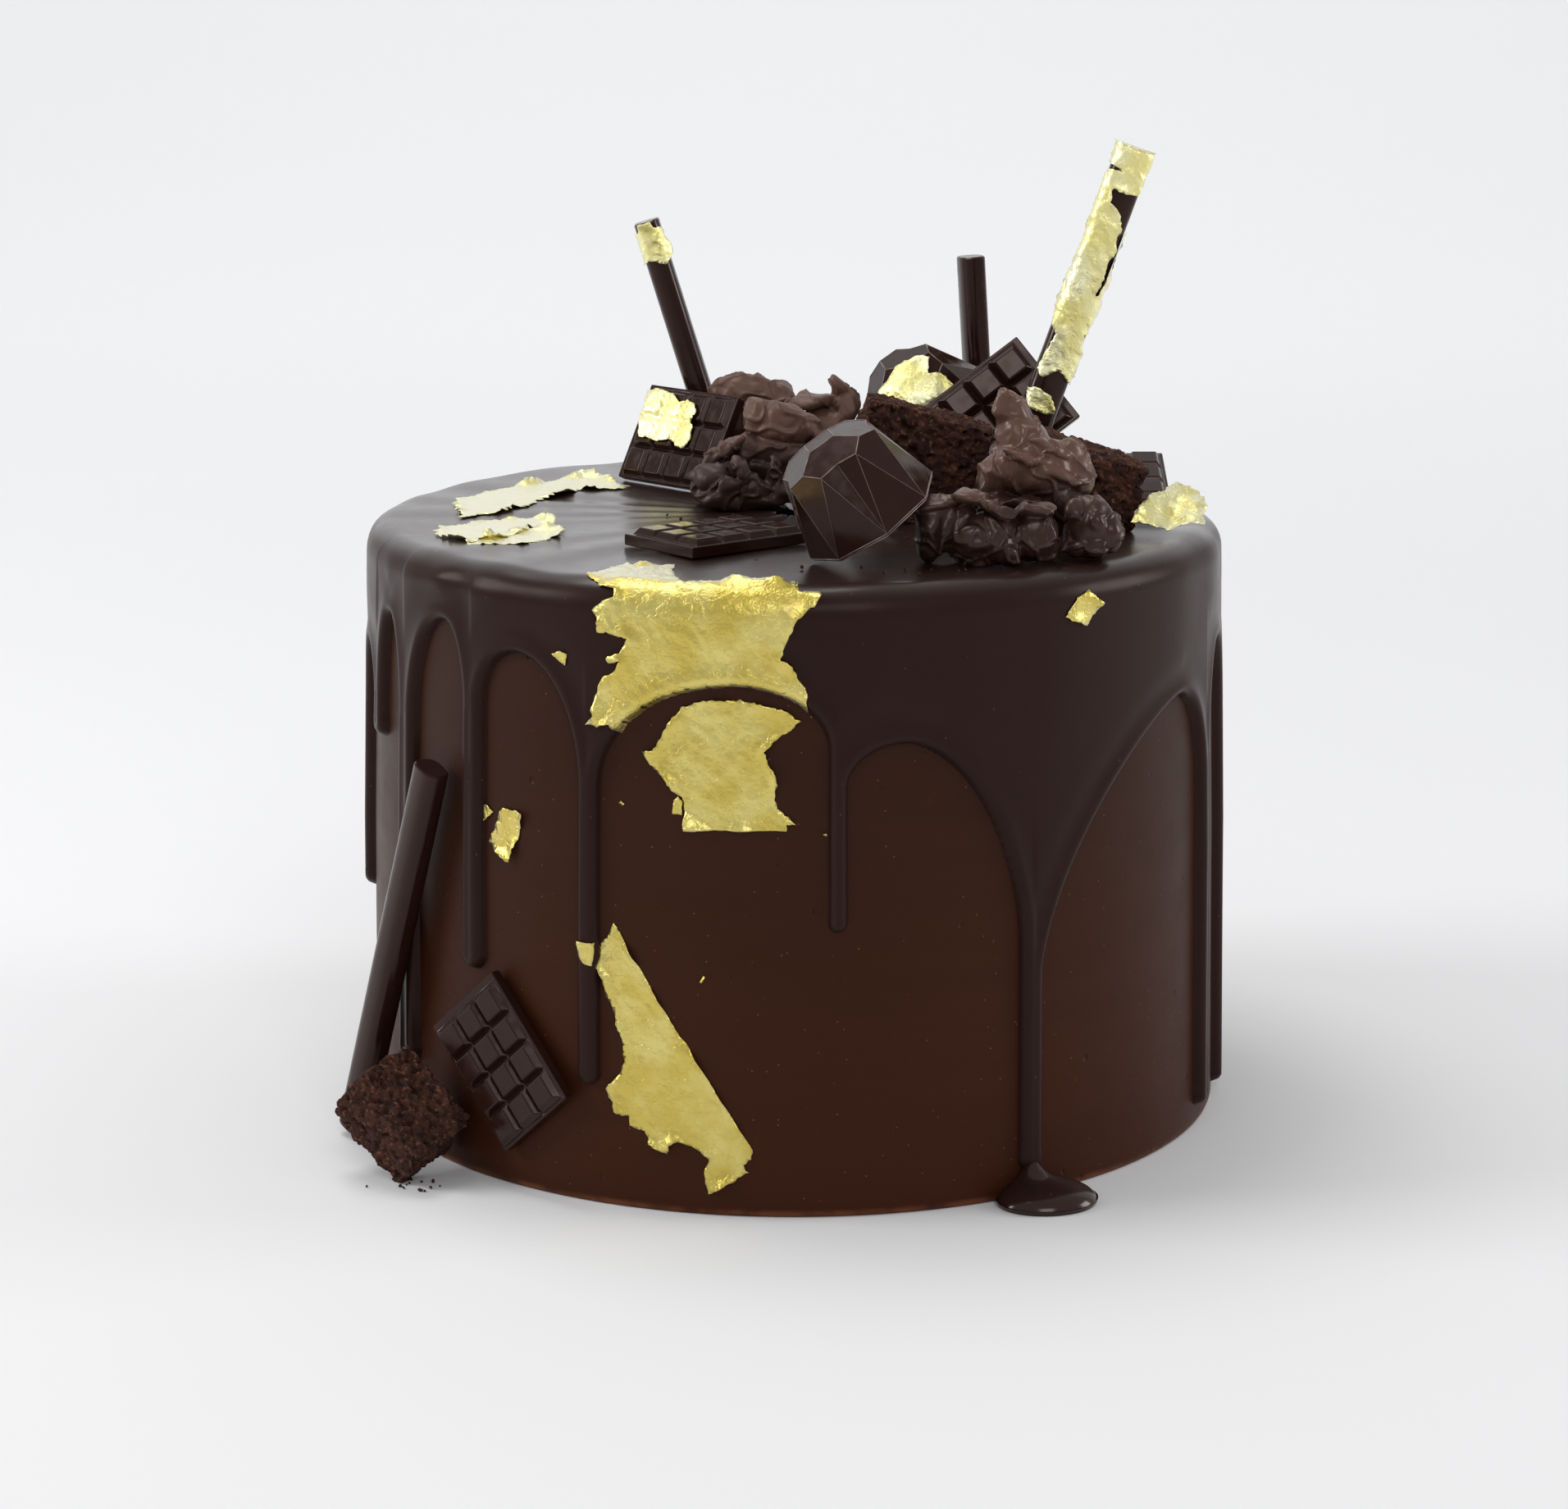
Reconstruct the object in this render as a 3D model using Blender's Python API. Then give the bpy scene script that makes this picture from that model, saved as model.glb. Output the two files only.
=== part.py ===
"""A tall round chocolate cake with a poured drip glaze, chocolate toppings and gold leaf.

Metres, +Z up. The origin is the centre of the cake's flat base; -Y is the front.
"""
import math

import bmesh
import bpy
from mathutils import Euler, Matrix, Vector, noise

MM = 0.001
# The noise that bends the brownies starts from this, so that they come out alike each time
NOISE_SEED = 1

# Driving dimensions of the cake body and its glaze
BASE_RADIUS = 104.0 * MM
MID_RADIUS = 102.8 * MM
TOP_RADIUS = 100.6 * MM
MID_HEIGHT = 70.0 * MM
TOP_HEIGHT = 143.1 * MM
GLAZE_THICKNESS = 2.4 * MM
GAP = 0.3 * MM
CORE_HEIGHT = TOP_HEIGHT - GLAZE_THICKNESS - GAP
RIM_ROUND = 7.0 * MM
CORE_ROUND = RIM_ROUND - GLAZE_THICKNESS
SHOULDER = TOP_HEIGHT - RIM_ROUND
SKIN_OFFSET = GLAZE_THICKNESS + GAP
CORE_SEGMENTS = 72
CORE_LEVELS = (0.0, 35.0, 70.0, 105.0)

# The edge of the glaze: widest column in degrees, how far the columns crowd towards the drips,
# and the thickness at an arch and at a drip's flank as shares of the full thickness
WIDEST_COLUMN = 4.5
COLUMN_CROWDING = 1.5
ARCH_SHARE = 0.85
FLANK_SHARE = 0.45

# Drips round the cake: azimuth in degrees from the front, half width and tip height in mm
DRIPS = (
    (-86.0, 3.4, 52.0),
    (-71.5, 3.2, 95.0),
    (-60.2, 3.6, 20.0),
    (-44.8, 2.9, 49.5),
    (-26.3, 2.3, 28.0),
    (5.4, 1.8, 66.0),
    (30.9, 2.6, 6.6),
    (69.0, 3.0, 5.0),
    (84.0, 2.6, 2.4),
    (101.0, 2.4, 46.0),
    (119.0, 2.9, 12.0),
    (137.0, 2.0, 78.0),
    (152.0, 2.7, 34.0),
    (170.0, 2.3, 60.0),
    (189.0, 3.0, 8.0),
    (208.0, 2.1, 70.0),
    (226.0, 2.7, 26.0),
    (244.0, 2.2, 56.0),
    (259.0, 2.8, 15.0),
)
# The bare arch after each drip: peak azimuth, peak height, and where it meets each drip, in mm
ARCHES = (
    (-79.0, 116.0, 98.0, 104.0),
    (-66.0, 126.0, 106.0, 104.0),
    (-50.6, 128.7, 104.0, 110.0),
    (-37.0, 124.4, 112.0, 96.0),
    (-7.5, 121.0, 96.0, 107.0),
    (13.6, 107.8, 98.0, 60.0),
    (59.6, 108.6, 52.0, 86.0),
    (76.0, 117.0, 92.0, 92.0),
    (92.0, 120.0, 94.0, 98.0),
    (109.0, 113.0, 92.0, 84.0),
    (129.0, 121.0, 90.0, 104.0),
    (144.0, 117.0, 100.0, 92.0),
    (161.0, 123.0, 98.0, 102.0),
    (179.0, 112.0, 88.0, 80.0),
    (199.0, 119.0, 84.0, 100.0),
    (217.0, 124.0, 106.0, 98.0),
    (235.0, 114.0, 88.0, 94.0),
    (251.0, 122.0, 100.0, 96.0),
    (266.0, 118.0, 94.0, 100.0),
)

# The small chocolate tablet, pressed in three by four raised squares
TABLET_WIDTH = 25.3 * MM
TABLET_LENGTH = 33.9 * MM
TABLET_PLATE = 2.6 * MM
SQUARE_HEIGHT = 1.5 * MM
SQUARE_DRAFT = 1.5 * MM
SQUARE_PITCH = 7.8 * MM
SQUARE_SIDE = 7.0 * MM
TABLET_MARGIN = 0.9 * MM

# The chocolate stick's section, an oval drawn out a little towards its corners
STICK_WIDTH = 8.8 * MM
STICK_DEPTH = 6.6 * MM
STICK_SIDES = 12
STICK_ROUNDING = 0.75

# The puddle under the longest front drip: place, reach out and sideways, and its rings as
# height in mm and share of its reach
POOL_AZIMUTH = 31.6
POOL_DISTANCE = 109.6 * MM
POOL_OUTWARDS = 10.2 * MM
POOL_SIDEWAYS = 12.2 * MM
POOL_RINGS = ((0.0, 0.94), (1.2, 1.0), (2.8, 0.95), (3.9, 0.78), (4.6, 0.5))
POOL_TOP = 4.9 * MM
POOL_STEPS = 28

# The gem bonbon's corners as radius and height in mm over its girdle: the flat back, the girdle,
# the low and high corners of its crown, the notched corner between them, and the square table
GEM_BACK = (16.2, -0.6)
GEM_GIRDLE = (16.7, 0.0)
GEM_LOW = (12.3, 17.5)
GEM_HIGH = (10.8, 19.2)
GEM_NOTCH = (10.6, 17.8)
GEM_TABLE = (4.6, 21.3)
GEM_SIDES = 8

LEAF_THICKNESS = 0.25 * MM
RIPPLE_HEIGHT = 0.22 * MM

# A broken piece's noise: pitch of its lumps, sharp folds and fine grain over a ball of radius 1,
# and how much of the roughness goes to the folds and the grain
LUMP_PITCH = 1.7
FOLD_PITCH = 2.6
GRAIN_PITCH = 4.1
FOLD_LEVEL = 0.22
FOLD_SHARE = 1.3
GRAIN_SHARE = 0.5
CHUNK_SHIFT = Vector((7.31, 3.17, 1.93))

# A brownie's softened cube: how far it leans towards a ball of this size, and its unevenness
BALL_SHARE = 0.16
BALL_SIZE = 1.28
BROWNIE_CUTS = 4
BROWNIE_PITCH = 1.9
BROWNIE_WAVE = 0.11
BROWNIE_SHIFT = Vector((5.7, 2.9, 8.3))


def radius_of_core(height):
    """The bare side narrows a little from the base to the middle, then more to the top."""
    if height < MID_HEIGHT:
        share = max(height, 0.0) / MID_HEIGHT
        return BASE_RADIUS + (MID_RADIUS - BASE_RADIUS) * share
    share = (height - MID_HEIGHT) / (TOP_HEIGHT - MID_HEIGHT)
    return MID_RADIUS + (TOP_RADIUS - MID_RADIUS) * share


def around(azimuth, radius, height):
    """A point by azimuth in degrees from the front, distance from the axis and height."""
    angle = math.radians(azimuth)
    return Vector((radius * math.sin(angle), -radius * math.cos(angle), height))


def skin_profile(run, lift=0.0):
    """Radius and height of the glazed surface: up the side, over the rim, then inwards."""
    quarter = RIM_ROUND * math.pi / 2
    shoulder_radius = radius_of_core(SHOULDER) + SKIN_OFFSET
    if run <= SHOULDER:
        return radius_of_core(run) + SKIN_OFFSET + lift, run
    if run <= SHOULDER + quarter:
        angle = (run - SHOULDER) / RIM_ROUND
        reach = RIM_ROUND + lift
        centre = shoulder_radius - RIM_ROUND
        return centre + reach * math.cos(angle), SHOULDER + reach * math.sin(angle)
    inwards = run - SHOULDER - quarter
    return shoulder_radius - RIM_ROUND - inwards, TOP_HEIGHT + lift


def material(name, colour, roughness, metallic=0.0):
    made = bpy.data.materials.new(name)
    made.use_nodes = True
    shader = made.node_tree.nodes["Principled BSDF"]
    shader.inputs["Base Color"].default_value = (*colour, 1.0)
    shader.inputs["Roughness"].default_value = roughness
    shader.inputs["Metallic"].default_value = metallic
    return made


def place_mesh(name, bm, finish, smooth=None):
    """Turns a bmesh into a named object with outward faces."""
    bmesh.ops.recalc_face_normals(bm, faces=bm.faces)
    mesh = bpy.data.meshes.new(name)
    bm.to_mesh(mesh)
    bm.free()
    mesh.materials.append(finish)
    if smooth is not None:
        mesh.shade_smooth()
        mesh.set_sharp_from_angle(angle=math.radians(smooth))
    made = bpy.data.objects.new(name, mesh)
    bpy.context.collection.objects.link(made)
    return made


def join_rings(bm, lower, upper):
    """Quads between two closed rings that have the same number of points."""
    count = len(lower)
    for index in range(count):
        after = (index + 1) % count
        bm.faces.new((lower[index], lower[after], upper[after], upper[index]))


def close_ring(bm, ring, tip):
    """A fan from a ring to one point."""
    count = len(ring)
    for index in range(count):
        bm.faces.new((ring[index], ring[(index + 1) % count], tip))


def core_arc():
    """The rounded upper edge of the bare cake, as pairs of cosine and sine."""
    return [(math.cos(a), math.sin(a)) for a in (0.0, math.pi / 4, math.pi / 2)]


def core_corner():
    """Centre of the arc that rounds the bare cake's upper edge."""
    height = CORE_HEIGHT - CORE_ROUND
    return radius_of_core(height) - CORE_ROUND, height


def make_cake(finish):
    """The bare cake: a turned solid with a flat base and a rounded upper edge."""
    corner_radius, corner_height = core_corner()
    profile = [(radius_of_core(h * MM), h * MM) for h in CORE_LEVELS]
    profile += [
        (corner_radius + CORE_ROUND * c, corner_height + CORE_ROUND * s)
        for c, s in core_arc()
    ]
    bm = bmesh.new()
    rings = [
        [
            bm.verts.new(around(360.0 * i / CORE_SEGMENTS, radius, height))
            for i in range(CORE_SEGMENTS)
        ]
        for radius, height in profile
    ]
    for lower, upper in zip(rings, rings[1:]):
        join_rings(bm, lower, upper)
    close_ring(bm, rings[0], bm.verts.new((0.0, 0.0, 0.0)))
    close_ring(bm, rings[-1], bm.verts.new((0.0, 0.0, CORE_HEIGHT)))
    return place_mesh("cake", bm, finish, smooth=40)


def arch_columns(start, end, arch):
    """Columns of one bare arch between two drips: azimuth, edge height, edge thickness."""
    peak, top, left, right = arch
    thick = ARCH_SHARE * GLAZE_THICKNESS
    columns = []
    for limb, foot in ((start, left), (end, right)):
        steps = max(3, math.ceil(abs(peak - limb) / WIDEST_COLUMN))
        half = []
        for step in range(steps):
            across = (step / steps) ** COLUMN_CROWDING
            climb = math.sqrt(1.0 - (1.0 - across) ** 2)
            half.append((limb + (peak - limb) * across, (foot + (top - foot) * climb) * MM, thick))
        columns.append(half)
    return columns[0] + [(peak, top * MM, thick)] + columns[1][::-1]


def glaze_columns():
    """The lower edge of the glaze all the way round, as columns in order of azimuth."""
    side_step = 0.15
    degrees_per_mm = math.degrees(MM / MID_RADIUS)
    columns = []
    for index, (azimuth, half, tip) in enumerate(DRIPS):
        wide = half * degrees_per_mm
        thin = FLANK_SHARE * GLAZE_THICKNESS
        flank = (tip + 0.8 * half) * MM
        columns += [
            (azimuth - wide, flank, thin),
            (azimuth - wide / 2, tip * MM, GLAZE_THICKNESS),
            (azimuth + wide / 2, tip * MM, GLAZE_THICKNESS),
            (azimuth + wide, flank, thin),
        ]
        following = DRIPS[(index + 1) % len(DRIPS)]
        turn = 360.0 if index + 1 == len(DRIPS) else 0.0
        start = azimuth + wide + side_step
        end = following[0] + turn - following[1] * degrees_per_mm - side_step
        columns += arch_columns(start, end, ARCHES[index])
    return columns


def glaze_column(azimuth, edge, thickness):
    """Points of one column, from the rim's flat over the edge and back up the inside."""
    lip = 0.8 * MM
    middle = edge + 0.5 * (SHOULDER - edge)
    quarter = RIM_ROUND * math.pi / 2
    points = []
    for run in (quarter, quarter * 2 / 3, quarter / 3, 0.0):
        radius, height = skin_profile(SHOULDER + run)
        points.append(around(azimuth, radius, height))
    for height, depth in (
        (middle, (GLAZE_THICKNESS + thickness) / 2),
        (edge + lip, thickness),
        (edge, FLANK_SHARE * thickness),
        (edge, 0.0),
        (middle, 0.0),
    ):
        points.append(around(azimuth, radius_of_core(height) + GAP + depth, height))
    corner_radius, corner_height = core_corner()
    reach = CORE_ROUND + GAP
    for c, s in core_arc():
        points.append(around(azimuth, corner_radius + reach * c, corner_height + reach * s))
    return points


def make_glaze(finish):
    """The poured glaze: one skin over the top and side that runs down in drips."""
    bm = bmesh.new()
    columns = [
        [bm.verts.new(point) for point in glaze_column(*column)]
        for column in glaze_columns()
    ]
    rings = list(zip(*columns))
    for upper, lower in zip(rings, rings[1:]):
        join_rings(bm, lower, upper)
    close_ring(bm, rings[0], bm.verts.new((0.0, 0.0, TOP_HEIGHT)))
    close_ring(bm, rings[-1], bm.verts.new((0.0, 0.0, CORE_HEIGHT + GAP)))
    return place_mesh("glaze", bm, finish, smooth=50)


def make_drip_pool(finish):
    """The small domed puddle where the longest front drip ends, moulded to the cake's foot."""
    centre = around(POOL_AZIMUTH, POOL_DISTANCE, 0.0)
    outwards = around(POOL_AZIMUTH, POOL_OUTWARDS, 0.0)
    sideways = around(POOL_AZIMUTH + 90.0, POOL_SIDEWAYS, 0.0)
    clear = BASE_RADIUS + 1.5 * GAP
    bm = bmesh.new()
    made = []
    for height, share in POOL_RINGS:
        ring = []
        for step in range(POOL_STEPS):
            angle = 2 * math.pi * step / POOL_STEPS
            point = centre + outwards * (share * math.cos(angle))
            point += sideways * (share * math.sin(angle))
            point.z = height * MM
            flat = Vector((point.x, point.y, 0.0))
            if flat.length < clear:
                flat = flat.normalized() * clear
            ring.append(bm.verts.new((flat.x, flat.y, point.z)))
        made.append(ring)
    for lower, upper in zip(made, made[1:]):
        join_rings(bm, lower, upper)
    close_ring(bm, made[0], bm.verts.new((centre.x, centre.y, 0.0)))
    close_ring(bm, made[-1], bm.verts.new((centre.x, centre.y, POOL_TOP)))
    return place_mesh("drip_pool", bm, finish, smooth=60)


def make_stick(name, foot, tip, facing, finish):
    """A moulded stick between the centres of its two ends, its broad side turned to facing."""
    section = []
    for step in range(STICK_SIDES):
        angle = 2 * math.pi * (step + 0.5) / STICK_SIDES
        across, deep = math.cos(angle), math.sin(angle)
        across = math.copysign(abs(across) ** STICK_ROUNDING, across) * STICK_WIDTH / 2
        deep = math.copysign(abs(deep) ** STICK_ROUNDING, deep) * STICK_DEPTH / 2
        section.append((across, deep))
    along = (tip - foot).normalized()
    side = along.cross(facing).normalized()
    back = along.cross(side).normalized()
    if back.dot(facing) > 0:
        back = -back
    bm = bmesh.new()
    rings = []
    for end in (foot, tip):
        rings.append(
            [bm.verts.new(end + side * x + back * y) for x, y in section]
        )
    join_rings(bm, rings[0], rings[1])
    bm.faces.new(rings[0])
    bm.faces.new(rings[1])
    return place_mesh(name, bm, finish, smooth=40)


def tablet_mesh():
    """The tablet on its back, squares up, with its corner at the origin."""
    xs = [0.0] + [TABLET_MARGIN + SQUARE_PITCH * i for i in range(4)] + [TABLET_WIDTH]
    ys = [0.0] + [TABLET_MARGIN + SQUARE_PITCH * i for i in range(5)] + [TABLET_LENGTH]
    bm = bmesh.new()
    grid = [[bm.verts.new((x, y, TABLET_PLATE)) for x in xs] for y in ys]
    cells = []
    for row in range(len(ys) - 1):
        for column in range(len(xs) - 1):
            face = bm.faces.new(
                (
                    grid[row][column],
                    grid[row][column + 1],
                    grid[row + 1][column + 1],
                    grid[row + 1][column],
                )
            )
            if 0 < row < len(ys) - 2 and 0 < column < len(xs) - 2:
                cells.append(face)
    groove = (SQUARE_PITCH - SQUARE_SIDE) / 2
    bmesh.ops.inset_individual(bm, faces=cells, thickness=groove)
    bmesh.ops.inset_individual(bm, faces=cells, thickness=SQUARE_DRAFT, depth=SQUARE_HEIGHT)
    rim = [edge for edge in bm.edges if edge.is_boundary]
    made = bmesh.ops.extrude_edge_only(bm, edges=rim)["geom"]
    lowered = [item for item in made if isinstance(item, bmesh.types.BMVert)]
    for vert in lowered:
        vert.co.z = 0.0
    bmesh.ops.contextual_create(bm, geom=[e for e in bm.edges if e.is_boundary])
    return bm


def make_tablet(name, corner, along, across, finish):
    """A tablet with its back's corner, its long side and its short side given."""
    along = along.normalized()
    across = (across - along * across.dot(along)).normalized()
    up = across.cross(along)
    turn = Matrix((across, along, up)).transposed()
    bm = tablet_mesh()
    bmesh.ops.transform(
        bm, verts=bm.verts, matrix=Matrix.Translation(corner) @ turn.to_4x4()
    )
    return place_mesh(name, bm, finish)


def gem_ring(bm, corner, count, offset):
    """Evenly spaced corners round the gem's axis; offset is in eighths of a turn."""
    radius, height = corner
    ring = []
    for step in range(count):
        angle = 2 * math.pi * (step / count + offset / GEM_SIDES)
        ring.append(
            bm.verts.new((radius * MM * math.cos(angle), radius * MM * math.sin(angle), height * MM))
        )
    return ring


def gem_faces(bm):
    """The cut of the gem: kites and triangles up from the girdle, four crown faces, a table."""
    back = gem_ring(bm, GEM_BACK, GEM_SIDES, 0.0)
    girdle = gem_ring(bm, GEM_GIRDLE, GEM_SIDES, 0.0)
    low = gem_ring(bm, GEM_LOW, GEM_SIDES, 0.5)
    high = gem_ring(bm, GEM_HIGH, GEM_SIDES // 2, 0.0)
    notch = gem_ring(bm, GEM_NOTCH, GEM_SIDES // 2, 1.0)
    table = gem_ring(bm, GEM_TABLE, GEM_SIDES // 2, 0.0)
    bm.faces.new(back)
    bm.faces.new(table)
    join_rings(bm, back, girdle)
    for side in range(GEM_SIDES):
        bm.faces.new((low[side], girdle[side], girdle[(side + 1) % GEM_SIDES]))
    for quarter in range(GEM_SIDES // 2):
        side = 2 * quarter
        after = (quarter + 1) % len(table)
        bm.faces.new((high[quarter], low[side - 1], girdle[side]))
        bm.faces.new((high[quarter], girdle[side], low[side]))
        bm.faces.new((notch[quarter], low[side], girdle[side + 1]))
        bm.faces.new((notch[quarter], girdle[side + 1], low[side + 1]))
        bm.faces.new((high[quarter], low[side], notch[quarter]))
        bm.faces.new((notch[quarter], low[side + 1], high[after]))
        bm.faces.new((table[quarter], high[quarter], notch[quarter]))
        bm.faces.new((table[quarter], notch[quarter], table[after]))
        bm.faces.new((table[after], notch[quarter], high[after]))


def make_gem(name, centre, axis, roll, finish):
    """A faceted bonbon with its girdle's centre and its axis, up through the table, given."""
    side = axis.cross(Vector((0.0, 0.0, 1.0))).normalized()
    turn = Matrix((side.cross(axis), side, axis)).transposed().to_4x4()
    spin = Matrix.Rotation(math.radians(roll), 4, "Z")
    bm = bmesh.new()
    gem_faces(bm)
    bmesh.ops.transform(bm, verts=bm.verts, matrix=Matrix.Translation(centre) @ turn @ spin)
    return place_mesh(name, bm, finish)


def lobed_radius(direction, lobes):
    """How far a chunk reaches in one direction, with lobes as direction, size, sharpness."""
    reach = 1.0
    for toward, size, sharp in lobes:
        closeness = direction.dot(Vector(toward).normalized())
        reach += size * math.exp(-sharp * (1.0 - closeness))
    return reach


def make_chunk(name, centre, radii, lobes, seed, detail, rough, finish, turn=(0, 0, 0)):
    """A rough broken piece: a ball stretched to its radii, with lobes and crags."""
    bm = bmesh.new()
    bmesh.ops.create_icosphere(bm, subdivisions=detail, radius=1.0)
    spin = Euler([math.radians(a) for a in turn]).to_matrix()
    shift = CHUNK_SHIFT * seed
    for vert in bm.verts:
        direction = vert.co.normalized()
        fold = FOLD_LEVEL - abs(noise.noise(direction * FOLD_PITCH - shift))
        crag = noise.noise(direction * LUMP_PITCH + shift) + fold * FOLD_SHARE
        crag += noise.noise(direction * GRAIN_PITCH + shift) * GRAIN_SHARE
        reach = lobed_radius(direction, lobes) + crag * rough
        point = Vector([direction[i] * radii[i] * MM * reach for i in range(3)])
        point = spin @ point + Vector(centre) * MM
        floor = TOP_HEIGHT + GAP
        if point.z < floor:
            point.z = floor
        vert.co = point
    return place_mesh(name, bm, finish, smooth=35)


def make_brownie(name, centre, half, turn, seed, finish, floor, clear=0.0):
    """A cut cube of crumbly cake with soft uneven edges, standing on floor."""
    bm = bmesh.new()
    bmesh.ops.create_cube(bm, size=2.0)
    bmesh.ops.subdivide_edges(bm, edges=bm.edges, cuts=BROWNIE_CUTS, use_grid_fill=True)
    spin = Euler([math.radians(a) for a in turn]).to_matrix()
    shift = BROWNIE_SHIFT * seed
    for vert in bm.verts:
        square = vert.co.copy()
        point = square.lerp(square.normalized() * BALL_SIZE, BALL_SHARE)
        point += noise.noise_vector(square * BROWNIE_PITCH + shift) * BROWNIE_WAVE
        point = Vector([point[i] * half[i] * MM for i in range(3)])
        point = spin @ point + Vector(centre) * MM
        point.z = max(point.z, floor)
        flat = Vector((point.x, point.y))
        if clear and flat.length < clear:
            flat = flat.normalized() * clear
            point.x, point.y = flat
        vert.co = point
    return place_mesh(name, bm, finish, smooth=30)


def make_leaf(name, outline, place, cells, finish):
    """A torn gold leaf: its outline cut into cells, then laid on a surface by place."""
    bm = bmesh.new()
    bm.faces.new([bm.verts.new((u, v, 0.0)) for u, v in outline])
    for axis, step in enumerate(cells):
        values = [point[axis] for point in outline]
        line = math.ceil(min(values) / step) * step
        while line < max(values):
            normal = (1.0, 0.0, 0.0) if axis == 0 else (0.0, 1.0, 0.0)
            bmesh.ops.bisect_plane(
                bm,
                geom=bm.verts[:] + bm.edges[:] + bm.faces[:],
                dist=1e-5,
                plane_co=[line * c for c in normal],
                plane_no=normal,
            )
            line += step
    bmesh.ops.triangulate(bm, faces=bm.faces)
    flat = [(vert.co.x, vert.co.y) for vert in bm.verts]
    bm.verts.index_update()
    faces = [[vert.index for vert in face.verts] for face in bm.faces]
    border = [[vert.index for vert in edge.verts] for edge in bm.edges if edge.is_boundary]
    bm.free()
    solid = bmesh.new()
    inner = [solid.verts.new(place(u, v, 0.0)) for u, v in flat]
    outer = [solid.verts.new(place(u, v, LEAF_THICKNESS)) for u, v in flat]
    for face in faces:
        solid.faces.new([outer[i] for i in face])
        solid.faces.new([inner[i] for i in reversed(face)])
    for a, b in border:
        solid.faces.new((outer[a], outer[b], inner[b], inner[a]))
    return place_mesh(name, solid, finish)


def wave(u, v):
    """The slight lift and ripple of loose leaf, in metres."""
    return RIPPLE_HEIGHT * (1.0 + math.sin(0.9 * u + 0.31 * v) * math.cos(0.37 * v - 0.2 * u))


def on_glaze(u, v, lift):
    """Leaf coordinates on the glazed surface: azimuth, and run up the side and over the rim."""
    radius, height = skin_profile(v * MM, GAP + wave(u, v) + lift)
    return around(u, radius, height)


def on_bare_side(u, v, lift):
    """Leaf coordinates on the bare side: azimuth and height."""
    radius = radius_of_core(v * MM) + GAP + wave(u, v) + lift
    return around(u, radius, v * MM)


def on_top(u, v, lift):
    """Leaf coordinates on the flat top, in mm across and back."""
    return Vector((u * MM, v * MM, TOP_HEIGHT + GAP + wave(u, v) + lift))


def crumpled(u, v, lift):
    """A sheet that rises from the top near the rim, folded in deep waves along its length."""
    base = CRUMPLE_CORNER + CRUMPLE_ALONG * u + CRUMPLE_BACK * v
    fold = CRUMPLE_FOLD * math.sin(9.0 * u + 2.2 * v) * math.sin(math.pi * min(v + 0.15, 1.0))
    height = CRUMPLE_CLEAR + CRUMPLE_RISE * v * (1.0 - 0.45 * u) + fold
    normal = Vector((0.0, -0.5, 0.85))
    return Vector((base.x, base.y, TOP_HEIGHT / MM + height)) * MM + normal * lift


# Outlines of the leaves: azimuth in degrees and run in mm on the glaze, azimuth and height on
# the bare side, and mm across and back on the top
LEAVES_ON_GLAZE = {
    "gold_rim": (
        (-27.2, 145.0), (-26.8, 152.0), (-26.4, 160.5), (-19.4, 161.5), (-14.6, 147.0),
        (-9.0, 146.4), (0.3, 146.2), (3.4, 141.6), (1.0, 137.2), (-1.6, 127.4),
        (0.3, 123.4), (2.0, 114.6), (-4.5, 119.2), (-8.4, 120.2), (-14.2, 117.2),
        (-19.6, 111.0), (-20.9, 105.0), (-25.8, 111.2), (-24.0, 121.5), (-21.0, 128.0),
        (-24.6, 134.5), (-22.4, 139.6),
    ),
    "gold_flake_right": (
        (35.2, 133.3), (37.3, 137.2), (39.2, 138.4), (41.2, 135.4), (38.9, 130.4),
    ),
}
LEAVES_ON_SIDE = {
    "gold_front": (
        (-14.7, 116.2), (-11.6, 117.8), (-7.1, 118.3), (-3.2, 116.8), (-0.4, 114.0),
        (-3.7, 106.4), (-2.0, 98.0), (0.1, 90.4), (-0.8, 89.2), (-13.7, 88.8),
        (-15.2, 92.0), (-14.8, 96.0), (-18.8, 104.6), (-16.5, 110.0),
    ),
    "gold_side": (
        (-22.9, 65.6), (-13.8, 40.2), (-5.4, 16.0), (-5.6, 10.9), (-10.4, 5.8),
        (-10.9, 13.2), (-15.6, 15.4), (-20.6, 19.6), (-23.6, 28.0), (-21.8, 36.8),
        (-24.4, 54.0), (-24.5, 59.0),
    ),
    "gold_flake_left": (
        (-42.2, 80.0), (-39.8, 88.6), (-36.0, 88.2), (-37.3, 81.5), (-38.3, 76.3),
    ),
}
LEAVES_ON_TOP = {
    "gold_top_far": (
        (-80.0, -8.0), (-84.0, 18.0), (-77.0, 33.0), (-62.5, 50.0), (-53.0, 60.0),
        (-48.0, 52.0), (-42.0, 42.0), (-43.0, 37.0), (-53.0, 36.0), (-63.0, 18.0),
        (-70.0, 0.0),
    ),
    "gold_top_near": (
        (-84.0, -34.0), (-84.0, -24.0), (-72.0, -12.5), (-59.5, -9.5), (-56.0, -21.0),
        (-62.0, -27.0), (-67.0, -40.0), (-75.5, -45.0),
    ),
}
# The crumpled leaf, in mm: near corner, length, depth, clearance, rise at the back and fold height
CRUMPLE_CORNER = Vector((77.8, -37.0, 0.0))
CRUMPLE_ALONG = Vector((17.0, -2.0, 0.0))
CRUMPLE_BACK = Vector((8.0, 17.0, 0.0))
CRUMPLE_CLEAR = 2.1
CRUMPLE_RISE = 9.4
CRUMPLE_FOLD = 1.6
CRUMPLE_OUTLINE = (
    (0.0, 0.1), (0.1, 0.65), (0.3, 1.0), (0.62, 0.92), (0.86, 0.55), (1.0, 0.08),
    (0.8, 0.0), (0.5, 0.06), (0.2, 0.0),
)


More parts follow.
